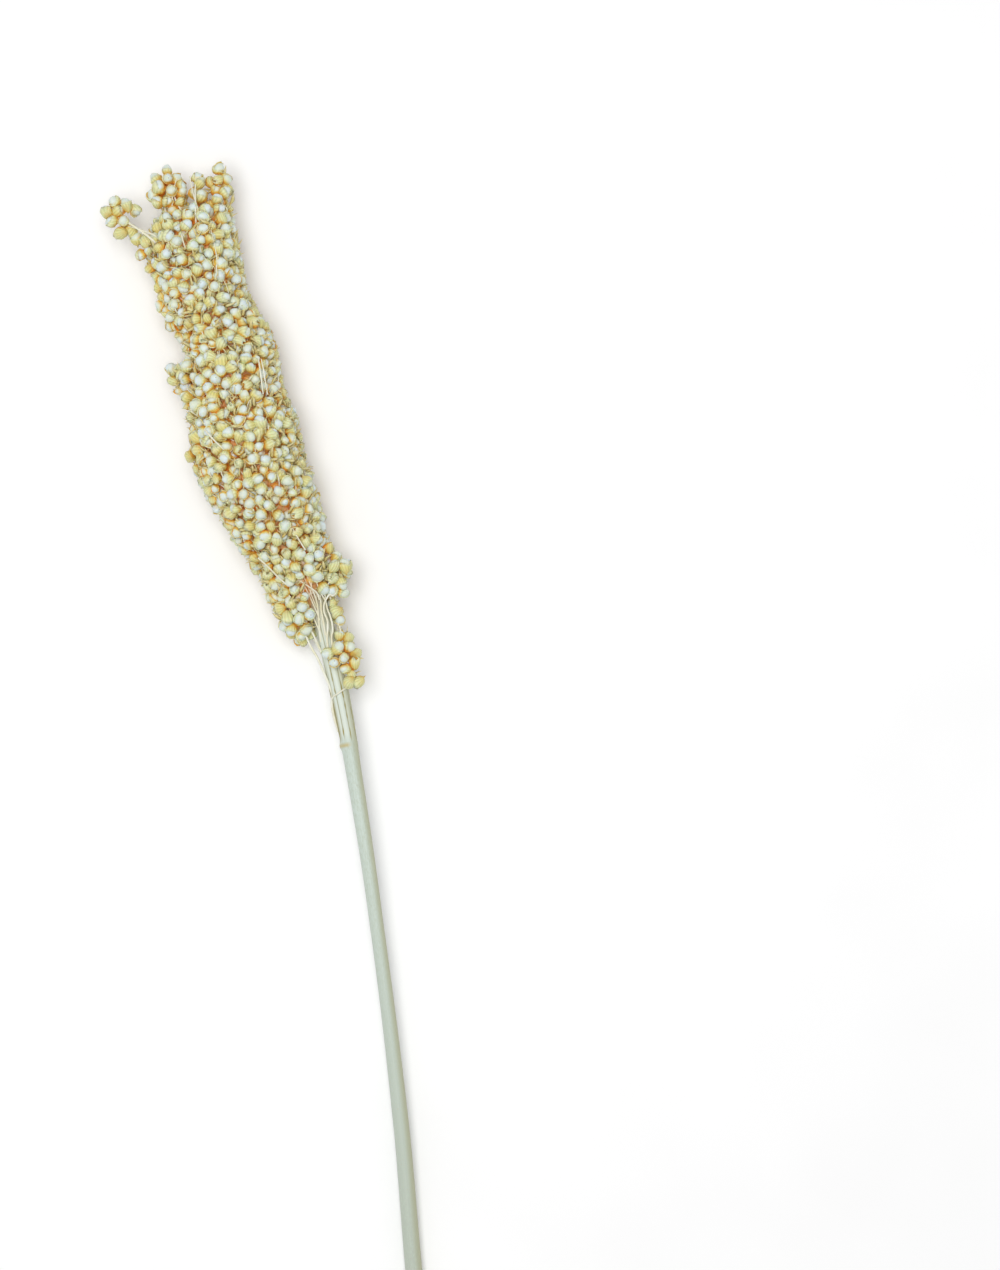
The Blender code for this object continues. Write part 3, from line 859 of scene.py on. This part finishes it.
# %% [markdown]
# ## Empty husks
# Between the grains stick out the small, pointed scales of flowers that set no seed. They lean
# up the head and outwards, in ones and twos, just under the skin of grains.

# %% Husks
HUSKS = 2200
HUSK_TRIES = 90000
HUSK_UNIT = 2.0
HUSK_LENGTH = 3.8
HUSK_CLEAR = 1.75
HUSK_DEPTHS = (1.5, 4.6)
HUSK_TIP_DEPTH = 0.3


def husk_places():
    """Bases and directions of husks whose tips find room between the grains."""
    draw = np.random.default_rng(SEED + 1)
    low, high = np.array((-38.0, 244.0, 0.8)), np.array((33.0, 456.0, 41.0))
    bases = low + draw.random((HUSK_TRIES, 3)) * (high - low)
    depth = depth_under(bases)
    bases = bases[(depth > HUSK_DEPTHS[0]) & (depth < HUSK_DEPTHS[1]) & (off_stem(bases) > 1.0)]
    bases = bases[open_to_darts(bases)]
    ways = 0.5 * outward(bases) + np.array((0, 0.5, 0)) + 0.5 * draw.normal(0, 1, bases.shape)
    ways /= np.linalg.norm(ways, axis=1)[:, None]
    found = []
    for base, way in zip(bases, ways):
        middle, tip = (base + way * HUSK_LENGTH * share for share in (0.55, 0.95))
        near = min(grain_tree.find(middle)[2], grain_tree.find(tip)[2])
        if near > HUSK_CLEAR and float(depth_under(tip[None])[0]) > HUSK_TIP_DEPTH:
            found.append((base, way))
    return found[:HUSKS]


bases, ways = zip(*husk_places())
turns = [tuple(turned_to(way, chance.uniform(0, math.tau))) for way in ways]
sizes = [(chance.uniform(0.75, 1.2), 1.0, chance.uniform(0.85, 1.2)) for _ in ways]
tones = [chance.random() for _ in ways]
print(len(bases), "husks")
copies_of("husk", "husks", list(zip(bases, turns, sizes, tones)), HUSK_FINISH, HUSK_UNIT)

# %% [markdown]
# ## Branches
# The branches are white straw threads, a third to one millimetre thick. They follow smooth paths through a
# few given points: on the neck, in the sprays and down the side of the neck. Short lengths of others come
# up between the grains all over the head. A second tree lays a tube along each path and closes its ends.

# %% The thread tree


def thread_tree():
    tree, given = new_tree("tube along a path", Path="Geometry", Sides="Int", Finish="Material")
    curve = add(tree, "GeometryNodeMeshToCurve", None, {0: given["Path"]})
    thickness = add(tree, "GeometryNodeInputNamedAttribute", {"data_type": "FLOAT"}, {"Name": "thickness"})
    section = add(tree, "GeometryNodeCurvePrimitiveCircle", None, {
        "Resolution": given["Sides"], "Radius": 1.0})
    tube = add(tree, "GeometryNodeCurveToMesh", None, {
        "Curve": curve.outputs[0],
        "Profile Curve": section.outputs[0],
        "Scale": thickness.outputs[0],
        "Fill Caps": True,
    })
    smooth = add(tree, "GeometryNodeSetShadeSmooth", None, {0: tube.outputs[0]})
    return end_tree(tree, smooth.outputs[0], given["Finish"])


THREADS = thread_tree()


def smooth_path(points, per_span=5):
    """A Catmull-Rom path through (x, y, z, radius) points."""
    table = np.array([(k, *point) for k, point in enumerate(points)], dtype=float)
    return along(table, np.linspace(0, len(points) - 1, per_span * (len(points) - 1) + 1))


def threads(name, paths, sides):
    """One piece that holds a tube along each path."""
    corners, edges, thickness = [], [], []
    for path in paths:
        start = len(corners)
        corners += [tuple(p) for p in in_metres(path[:, :3])]
        thickness += list(np.maximum(path[:, 3], 0.05) * MM)
        edges += [(k, k + 1) for k in range(start, len(corners) - 1)]
    mesh = bpy.data.meshes.new(name)
    mesh.from_pydata(corners, edges, [])
    set_attribute(mesh, "thickness", "FLOAT", thickness)
    holder = bpy.data.objects.new(name + " paths", mesh)
    piece = run_tree(THREADS, holder, name, Sides=sides, Finish=BRANCH_FINISH)
    tidy = bmesh.new()
    tidy.from_mesh(piece.data)
    bmesh.ops.remove_doubles(tidy, verts=tidy.verts, dist=1e-6)
    bmesh.ops.recalc_face_normals(tidy, faces=tidy.faces)
    tidy.to_mesh(piece.data)
    tidy.free()
    note_surroundings(piece.data)
    finish_piece(piece)


def branch_finish():
    """Dry branch straw: white with a trace of yellow, matt, with soft blotches."""
    finish, tree, shader = new_finish("white branch straw", Roughness=0.6, IOR=1.5)
    depth = add(tree, "ShaderNodeAttribute", {"attribute_name": "depth"}).outputs["Fac"]
    colour = tinted(tree, "#EAEADC", "#DFDABA", blotches(tree, 2.5), 0.35, 0.7)
    shade = add(tree, "ShaderNodeAttribute", {"attribute_name": "shade"}).outputs["Fac"]
    # Painted shade: cream where other grains crowd round.
    colour = tinted(tree, colour, "#F2D8A4", shade, CREAM_TO, AMBER_TO)
    # Orange with depth: partly its own less bleached colour, partly painted shade.
    colour = tinted(tree, colour, "#F5B060", depth, ORANGE_FROM, ORANGE_TO, 0.8)
    tree.links.new(colour, shader.inputs["Base Color"])
    return finish


BRANCH_FINISH = branch_finish()

# %% [markdown]
# The threads between the grains start deep, come up near the skin and run on along the head, as
# the outer branches of the panicle do.

# %% Threads between the grains
THREAD_COUNT = 600
THREAD_TRIES = 20000
THREAD_DEPTHS = (3.4, 5.6)
THREAD_LENGTHS = (6.0, 14.0)
THREAD_WIDTHS = (0.16, 0.32)


def thread_paths():
    draw = np.random.default_rng(SEED + 2)
    low, high = np.array((-22.0, 268.0, 2.0)), np.array((26.0, 436.0, 41.0))
    starts = low + draw.random((THREAD_TRIES, 3)) * (high - low)
    depth = depth_under(starts)
    starts = starts[(depth > THREAD_DEPTHS[0]) & (depth < THREAD_DEPTHS[1])][:THREAD_COUNT]
    paths = []
    for start, way in zip(starts, outward(starts)):
        length = draw.uniform(*THREAD_LENGTHS)
        lean = way * draw.uniform(0.1, 0.4) + np.array((0, 0.9, 0)) + draw.normal(0, 0.4, 3)
        end = start + lean * length
        bow = (start + end) / 2 + way * draw.uniform(0.6, 2.2) + draw.normal(0, 0.8, 3)
        width = draw.uniform(*THREAD_WIDTHS)
        path = smooth_path([(*start, width), (*bow, width), (*end, width * 0.6)], 4)
        if depth_under(path[:, :3]).min() > 0.7 and path[:, 2].min() > 0.6:
            paths.append(path)
    return paths


threads("inner_threads", thread_paths(), sides=5)

# %% [markdown]
# ## The stem
# The culm is a smooth, round, pithy stalk with a waxy skin, cut square at its lower end. A collar
# marks the node where the lowest branches leave it. Above the collar they still lie against the
# neck, which is fluted by them, and further up they come away one by one. The stem is a skin over
# many rings, whose radius a formula gives. They lie closest where the collar and the flutes are.

# %% Stem shape
COLLAR = 225.3
FLUTES = 8
STEM_SIDES = 48
NECK_FROM, NECK_TO = 216.0, 300.0
STEM_END = STEM[-1, 0]


def stem_radius(y, turn):
    """Radius of the stem's surface at a height and a turn round it, which is 90 degrees at the top."""
    radius = float(along(STEM, y)[0, 2])
    beside = max(0.0, -math.cos(turn - 0.3)) ** 3
    radius += (0.12 + 0.55 * beside) * math.exp(-(((y - COLLAR) / 1.5) ** 2))
    risen = min(1.0, max(0.0, (y - COLLAR - 1.0) / 9.0))
    flute = abs(math.cos(FLUTES / 2 * (turn - math.pi / 2)))
    radius += risen * (0.34 * flute**0.5 - 0.25)
    return radius + (1 - risen) * (0.04 * math.sin(13 * turn) + 0.03 * math.sin(7 * turn + 1 + y / 60))


def stem_ring(y):
    """The centre of the stem at a height, and a ring of points square to its run there."""
    x, z, _ = along(STEM, y)[0]
    centre = np.array((x, y, z))
    ahead, behind = along(STEM, y + 1)[0], along(STEM, y - 1)[0]
    heading = Vector((ahead[0] - behind[0], 2.0, ahead[1] - behind[1])).normalized()
    across = heading.cross(Vector((0, 0, 1))).normalized()
    up = across.cross(heading)
    ring = []
    for i in range(STEM_SIDES):
        turn = math.tau * i / STEM_SIDES - math.pi / 2
        out = across * math.cos(turn) + up * math.sin(turn)
        ring.append(centre + np.array(out) * stem_radius(y, turn))
    return centre, ring


def stem_mesh():
    """A skin over the rings, with flat ends and a UV map that follows the height."""
    heights = [*np.arange(0.0, NECK_FROM, 4.0), *np.arange(NECK_FROM, NECK_TO, 0.75),
               *np.arange(NECK_TO, STEM_END, 5.0)]
    centres, rings = zip(*(stem_ring(y) for y in heights))
    bm = skin_over([[in_metres(centres[0])], *map(in_metres, rings), [in_metres(centres[-1])]])
    layer = bm.loops.layers.uv["skin"]
    for face in bm.faces:
        face.smooth = len(face.verts) > 3
        for loop in face.loops:
            loop[layer].uv[1] = (loop.vert.co.y / MM + MIDDLE_OF_PLANT[1]) / STEM_END
    return bm


print("the stem's radius halfway up:", round(stem_radius(110.0, 0.0), 2), "mm")

# %% [markdown]
# The stem's wax gives it a faint shine and a cool grey green. Painted shade makes it browner along its
# right side and darker along the left side of the lower neck. The streaks are noise drawn out along it.
# Painted shade darkens the bottom of each flute, and lines of a worn olive brown run in a few of them.

# %% Stem finish


def stem_finish():
    """Waxy straw skin: pale grey-green, with fine streaks along it and small brown specks."""
    finish, tree, shader = new_finish("waxy straw skin", Roughness=0.42, IOR=1.48)
    around, upward = skin_place(tree)
    turn = add(tree, "ShaderNodeMath", {"operation": "MULTIPLY"}, {0: around, 1: math.tau}).outputs[0]
    height = add(tree, "ShaderNodeMath", {"operation": "MULTIPLY"}, {0: upward, 1: STEM_END}).outputs[0]
    downward, rightward = (
        add(tree, "ShaderNodeMath", {"operation": way}, {0: turn}).outputs[0] for way in ("COSINE", "SINE"))

    def streaks(length_mm, width_share, detail):
        """Noise drawn out along the stem, in patches so long and so wide round it."""
        slow = add(tree, "ShaderNodeMath", {"operation": "DIVIDE"}, {0: height, 1: length_mm * width_share})
        place = add(tree, "ShaderNodeCombineXYZ", None, {0: downward, 1: rightward, 2: slow.outputs[0]})
        inputs = {"Vector": place.outputs[0], "Scale": 1 / width_share, "Detail": detail}
        return add(tree, "ShaderNodeTexNoise", None, inputs).outputs["Fac"]

    def where(*bounds):
        """The share, from 0 to 1, that all the (value, from, to) bounds leave."""
        share = 1.0
        for value, low, high in bounds:
            share = add(tree, "ShaderNodeMapRange", None, {
                "Value": value, "From Min": low, "From Max": high, "To Max": share}).outputs[0]
        return share

    colour = tinted(tree, "#C4D0C6", "#B2BAAC", height, 190.0, 20.0)
    colour = tinted(tree, colour, "#B8C3B4", streaks(60, 0.16, 2), 0.42, 0.7)
    colour = tinted(tree, colour, "#CBD4C8", streaks(9, 0.1, 1), 0.62, 0.78)
    colour = tinted(tree, colour, "#B9A777", streaks(2.2, 0.3, 2), 0.7, 0.8)
    colour = tinted(tree, colour, "#D2DACE", height, COLLAR + 1.0, COLLAR + 5.0)
    colour = tinted(tree, colour, "#C9B793", height, 266.0, 286.0, 0.65)
    # Painted shade: the right side of the stem turns browner, as if lit from the left.
    colour = tinted(tree, colour, "#AEAF8A", rightward, 0.2, 1.0, 0.9)

    wave = add(tree, "ShaderNodeMath", {"operation": "MULTIPLY"}, {0: turn, 1: float(FLUTES)}).outputs[0]
    wave = add(tree, "ShaderNodeMath", {"operation": "COSINE"}, {0: wave}).outputs[0]
    fluted, scarred = (height, COLLAR + 1.0, COLLAR + 5.0), (height, COLLAR + 34.0, COLLAR + 22.0)
    # Painted shade along the bottom of each flute on the neck.
    colour = tinted(tree, colour, "#A3A280", wave, -0.8, -1.0, where(fluted))
    # Painted shade: a darker line along the left side of the lower neck.
    colour = tinted(tree, colour, "#9C9768", rightward, -0.6, -0.9, where(fluted, scarred))
    patches = where(fluted, scarred, (streaks(16, 0.6, 1), 0.46, 0.54))
    colour = tinted(tree, colour, "#968A48", wave, -0.6, -0.95, patches)

    worn = where((height, COLLAR - 0.9, COLLAR), (rightward, 0.4, -0.2))
    colour = tinted(tree, colour, "#BDB387", height, COLLAR + 1.5, COLLAR + 0.4, worn)
    depth = add(tree, "ShaderNodeAttribute", {"attribute_name": "depth"}).outputs["Fac"]
    # Warmer with depth inside the head: partly its own less bleached colour, partly painted shade.
    colour = tinted(tree, colour, "#D0B588", depth, ORANGE_FROM, ORANGE_TO, 0.7)
    tree.links.new(colour, shader.inputs["Base Color"])
    raise_skin(tree, shader, streaks(60, 0.1, 2), 0.3, 0.3)
    return finish


stem = mesh_object(stem_mesh(), "straw_stem")
bpy.context.scene.collection.objects.link(stem)
stem.data.materials.append(stem_finish())
note_surroundings(stem.data)
finish_piece(stem)
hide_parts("stem")

# %% [markdown]
# ## Branches at the neck, in the sprays and beside the stem
# The lowest branches have grown together into the fluted neck. Near the head they come away from
# it one by one, wavy and white, and fan out between the grains. One stands free on the left, and
# a thin fibre is caught round the neck. The stray spray and the fingers at the tip each hang on a
# branch of their own, which shows between their grains. Points are (x, y, z, radius).

# %% Neck and spray branches
BRANCHES = {
    "front, first": [
        (16.9, 268, 20, 0.42), (17.2, 273.4, 20.9, 0.42), (17.2, 277.3, 21.3, 0.4),
        (17.7, 281, 21.6, 0.4), (17.8, 287.1, 22.6, 0.38), (16.9, 290, 23.4, 0.34),
        (16.5, 292.5, 24, 0.3), (15, 299, 26, 0.24)],
    "front, second": [
        (18.2, 257, 19.2, 0.46), (19, 266.4, 20.6, 0.42), (19.9, 268.9, 21, 0.4),
        (20.3, 271.8, 21.4, 0.4), (20.1, 274.8, 21.5, 0.36), (19.6, 277.8, 21.8, 0.34),
        (19.5, 280.8, 22.3, 0.32), (18.4, 284.2, 23.2, 0.28), (17.2, 291, 24.6, 0.2)],
    "front, curled": [
        (17.1, 259, 19.4, 0.42), (17.1, 265.5, 20.5, 0.42), (18.3, 270.2, 21.6, 0.42),
        (18.8, 273.3, 22.2, 0.4), (18.3, 275.9, 22.5, 0.38), (18.3, 277.6, 22.8, 0.38),
        (18.8, 279.5, 23.2, 0.36), (20.1, 281.4, 23.8, 0.36), (21.6, 282.7, 24, 0.34),
        (22.9, 282.1, 23.4, 0.3), (24.4, 283.4, 21.6, 0.24)],
    "front, hooked": [
        (19.8, 281.4, 22, 0.24), (19.8, 283.2, 23, 0.26), (20, 284.7, 23.8, 0.26),
        (20.9, 285.7, 24, 0.24), (22.6, 287.6, 23.4, 0.2)],
    "front, short": [
        (17.4, 281.6, 22.6, 0.34), (17, 284.3, 23.6, 0.34), (15, 286.7, 25, 0.32),
        (12, 289.6, 26.4, 0.24)],
    "left, upper": [
        (14.6, 266, 18.6, 0.4), (15.4, 273, 20, 0.4), (16.1, 278.5, 21.2, 0.4), (16.2, 281.5, 22.2, 0.36),
        (15.9, 284, 23.2, 0.34), (14.6, 292, 25.6, 0.24)],
    "fan, first": [
        (16, 274, 20.4, 0.3), (14.6, 281, 22, 0.3), (13, 287.5, 24.4, 0.28), (10.4, 295, 27.6, 0.2)],
    "fan, second": [
        (15.6, 279, 20.9, 0.26), (14.6, 285, 22.8, 0.28), (13.4, 291.5, 25.2, 0.26),
        (12.4, 298, 28, 0.2)],
    "fan, third": [(15, 270, 19.8, 0.3), (13.2, 278, 21, 0.3), (11.4, 285, 23, 0.28), (8, 292, 26, 0.2)],
    "left, lower": [
        (14, 262, 17, 0.42), (12.4, 269, 19, 0.4), (9.6, 278, 22.6, 0.34), (5, 289, 26.6, 0.26)],
    "left, under": [(14.2, 260, 14, 0.42), (11, 270, 14, 0.38), (6, 280, 14, 0.32), (0, 292, 14, 0.24)],
    "back, left": [
        (16.2, 252, 11.4, 0.45), (14.6, 264, 9.8, 0.42), (11, 276, 7.6, 0.36), (6.4, 288, 5.4, 0.26)],
    "back, right": [
        (19.4, 250, 12, 0.45), (19.4, 262, 10.4, 0.42), (18, 276, 7.2, 0.36), (15.4, 290, 4.6, 0.26)],
    "right": [(21, 252, 16, 0.45), (21.6, 262, 16.4, 0.42), (22, 274, 16, 0.36), (24, 288, 15, 0.26)],
    "free on the left": [
        (14.4, 231, 13.8, 0.5), (13.9, 237, 14.6, 0.55), (14.1, 242.1, 15.6, 0.56),
        (15, 244.9, 16.6, 0.5), (14.6, 248.5, 17.2, 0.48), (13.7, 253.2, 17.8, 0.46),
        (12.4, 259.5, 18.4, 0.46), (11, 263.4, 18.6, 0.44), (10, 267, 18.8, 0.4), (8.6, 274, 20, 0.3)],
    "caught round the neck": [
        (24.6, 250, 18, 0.24), (21.8, 247.1, 18.2, 0.28), (20.5, 246.8, 18.9, 0.3),
        (18.6, 246, 19.6, 0.3), (16.6, 245.1, 19.2, 0.3), (15, 244.3, 17.6, 0.28),
        (14, 242.4, 15.4, 0.26), (14.4, 240.8, 12.6, 0.22)],
    "down the chain": [
        (19.5, 300, 19, 0.45), (20.8, 288, 20, 0.4), (22, 276, 19.8, 0.36), (23.4, 264, 19.4, 0.32),
        (24.2, 253, 18.6, 0.22)],
    "on the lobe": [
        (6.7, 289.3, 27.6, 0.26), (4, 293, 29.2, 0.3), (1, 297.6, 30.2, 0.3), (-1.8, 301.3, 30.6, 0.26)],
    "over the lobe": [
        (16.3, 300.7, 31.4, 0.26), (15.2, 303.6, 32.6, 0.28), (14, 307, 33.2, 0.28),
        (13.2, 309.7, 33, 0.24)],
    "right side, first": [
        (12, 361, 33, 0.22), (12.4, 365.6, 34.4, 0.3), (12.7, 370, 34.4, 0.3), (12.8, 374.6, 32.8, 0.22)],
    "right side, second": [
        (13.6, 360.6, 32.2, 0.2), (13.7, 365.4, 33.4, 0.26), (13.9, 370.2, 33.4, 0.26),
        (13.7, 374.2, 31.6, 0.2)],
    "left side": [
        (-6, 343, 38, 0.24), (-8.4, 346.4, 38.6, 0.28), (-10.4, 349.6, 38, 0.28),
        (-11.8, 351.8, 36.4, 0.22)],
    "to the stray spray": [
        (-8, 408, 19, 0.7), (-13.5, 419, 22, 0.6), (-18.5, 427, 25.4, 0.5), (-24, 433, 24.6, 0.42),
        (-30, 438.5, 21.5, 0.3)],
    "beside it": [
        (-11, 420, 24.5, 0.35), (-16.5, 427.5, 26.6, 0.32), (-22.4, 431.6, 25.4, 0.28),
        (-27.2, 434.4, 22, 0.2)],
    "to the left finger": [
        (-4, 415, 20, 0.55), (-3.5, 428, 23.5, 0.5), (-6.4, 438, 22.5, 0.4), (-9.2, 448, 18, 0.25)],
    "to the middle finger": [
        (-2, 422, 27.5, 0.3), (-0.6, 431, 28, 0.34), (0.6, 440, 24.5, 0.32), (1.8, 449, 18.6, 0.2)],
    "beside the middle finger": [
        (2.4, 424, 27.5, 0.26), (1, 433, 27.5, 0.3), (0, 441, 23.5, 0.28), (-0.4, 448.6, 19.4, 0.2)],
    "to the right finger": [
        (5, 415, 20, 0.5), (7.4, 430, 21, 0.4), (9.8, 441, 19, 0.3), (11, 449, 18, 0.2)],
    "to the side spray": [(-8, 358, 24, 0.4), (-13, 368, 24.5, 0.34), (-19, 374.5, 20.5, 0.22)],
}

threads("outer_branches", [smooth_path(points) for points in BRANCHES.values()], sides=8)

# %% [markdown]
# ## The core
# Deep down the branches and husks close up, and no daylight comes through. A plain lumpy core
# stands for that tangle. It lies far enough under the grains that only its warm tan shows in the
# gaps, where the shade turns it to orange brown.

# %% Core
CORE_DEPTH = 6.4
CORE_LUMPS = 0.8
CORE_SIDES = 24
CORE_STEP = 3.0


def core_mesh():
    """The head's main body, drawn in by an almost even depth."""
    rings = []
    for y in np.arange(HEAD[0, 0] + 9.0, HEAD[-1, 0] - 8.0, CORE_STEP):
        left, right, bottom, top = along(HEAD, y)[0]
        middle = np.array(((left + right) / 2, y, (top + bottom) / 2))
        ring = []
        for i in range(CORE_SIDES):
            turn = math.tau * i / CORE_SIDES
            out = np.array((math.cos(turn), 0, math.sin(turn)))
            reach = np.linspace(0.5, 26.0, 90)
            depth = head_depth(middle + reach[:, None] * out)
            inside = reach[depth > CORE_DEPTH + CORE_LUMPS * math.sin(7 * turn + y)]
            ring.append(tuple(in_metres(middle + (inside[-1] if len(inside) else 0.6) * out)))
        rings.append(ring)
    ends = [[tuple(np.mean(ring, axis=0))] for ring in (rings[0], rings[-1])]
    return skin_over([ends[0], *rings, ends[1]])


def core_finish():
    """Straw that the bleach never reached: matt and a warm tan, which the gaps deepen to orange."""
    finish, tree, shader = new_finish("unbleached inner straw", Roughness=0.8)
    colour = tinted(tree, "#F6C88C", "#E8A662", blotches(tree, 1.5, 4.0), 0.35, 0.65)
    tree.links.new(colour, shader.inputs["Base Color"])
    return finish


core = mesh_object(core_mesh(), "inner_tangle")
bpy.context.scene.collection.objects.link(core)
core.data.materials.append(core_finish())
finish_piece(core)
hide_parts("seed_head")

# %% [markdown]
# ## Floor, light and camera
# The surface is plain and nearly white, and the light is broad and soft, a little stronger from
# the upper left, with an even sky that fills the shadows. The camera looks straight down, through
# a long lens, and is rolled by the angle at which the plant leans in the picture. One pixel of a
# 1000 by 1270 picture is 0.38 mm at the height of the stem's middle.

# %% Floor
FLOOR_SIZE = 3.0


def floor_finish():
    """Uncoated white paper: matt, with a hardly visible cloudiness of its fibres."""
    finish, tree, shader = new_finish("white paper", Roughness=0.9)
    colour = tinted(tree, "#FAFAFA", "#F7F7F7", blotches(tree, 40.0), 0.3, 0.7)
    tree.links.new(colour, shader.inputs["Base Color"])
    return finish


floor_mesh = bmesh.new()
bmesh.ops.create_grid(floor_mesh, x_segments=1, y_segments=1, size=FLOOR_SIZE / 2)
floor = mesh_object(floor_mesh, "floor")
bpy.context.scene.collection.objects.link(floor)
floor.data.materials.append(floor_finish())
print("floor:", FLOOR_SIZE, "m wide")

# %% Light
SKY_LIGHT = 0.52


def soft_lamp(name, place, size, power, aim=(0, 0.1, 0)):
    lamp = bpy.data.lights.new(name, "AREA")
    lamp.shape = "DISK"
    lamp.size = size
    lamp.energy = power
    made = bpy.data.objects.new(name, lamp)
    made.location = place
    made.rotation_euler = (Vector(aim) - Vector(place)).to_track_quat("-Z", "Y").to_euler()
    bpy.context.scene.collection.objects.link(made)


soft_lamp("key", (-0.08, 0.17, 1.5), 1.0, 14.8)

world = bpy.data.worlds.new("even sky")
world.use_nodes = True
world.node_tree.nodes["Background"].inputs[0].default_value = (1, 1, 1, 1)
world.node_tree.nodes["Background"].inputs[1].default_value = SKY_LIGHT
bpy.context.scene.world = world
bpy.context.scene.view_settings.view_transform = "Standard"
print("lamps:", [light.name for light in bpy.data.lights], "and a sky of", SKY_LIGHT)

# %% Camera
PIXEL = 0.38
PICTURE = (1000, 1270)
CUT_END_PIXEL = (417, 1336)
LEAN = math.radians(11.017)
MIDDLE_HEIGHT = 17.0
LENS, SENSOR = 85.0, 36.0

right = PICTURE[0] / 2 - CUT_END_PIXEL[0]
up = CUT_END_PIXEL[1] - PICTURE[1] / 2
picture_middle = in_metres((
    PIXEL * (right * math.cos(LEAN) + up * math.sin(LEAN)),
    PIXEL * (up * math.cos(LEAN) - right * math.sin(LEAN)),
    MIDDLE_HEIGHT,
))
distance = PICTURE[1] * PIXEL / 2 / (SENSOR / 2 / LENS) * MM

lens = bpy.data.cameras.new("camera")
lens.lens, lens.sensor_width = LENS, SENSOR
camera = bpy.data.objects.new("camera", lens)
camera.location = Vector(picture_middle) + Vector((0, 0, distance))
camera.rotation_euler = Euler((0, 0, -LEAN))
bpy.context.scene.collection.objects.link(camera)
bpy.context.scene.camera = camera
print("camera", round(distance, 3), "m above the plant")
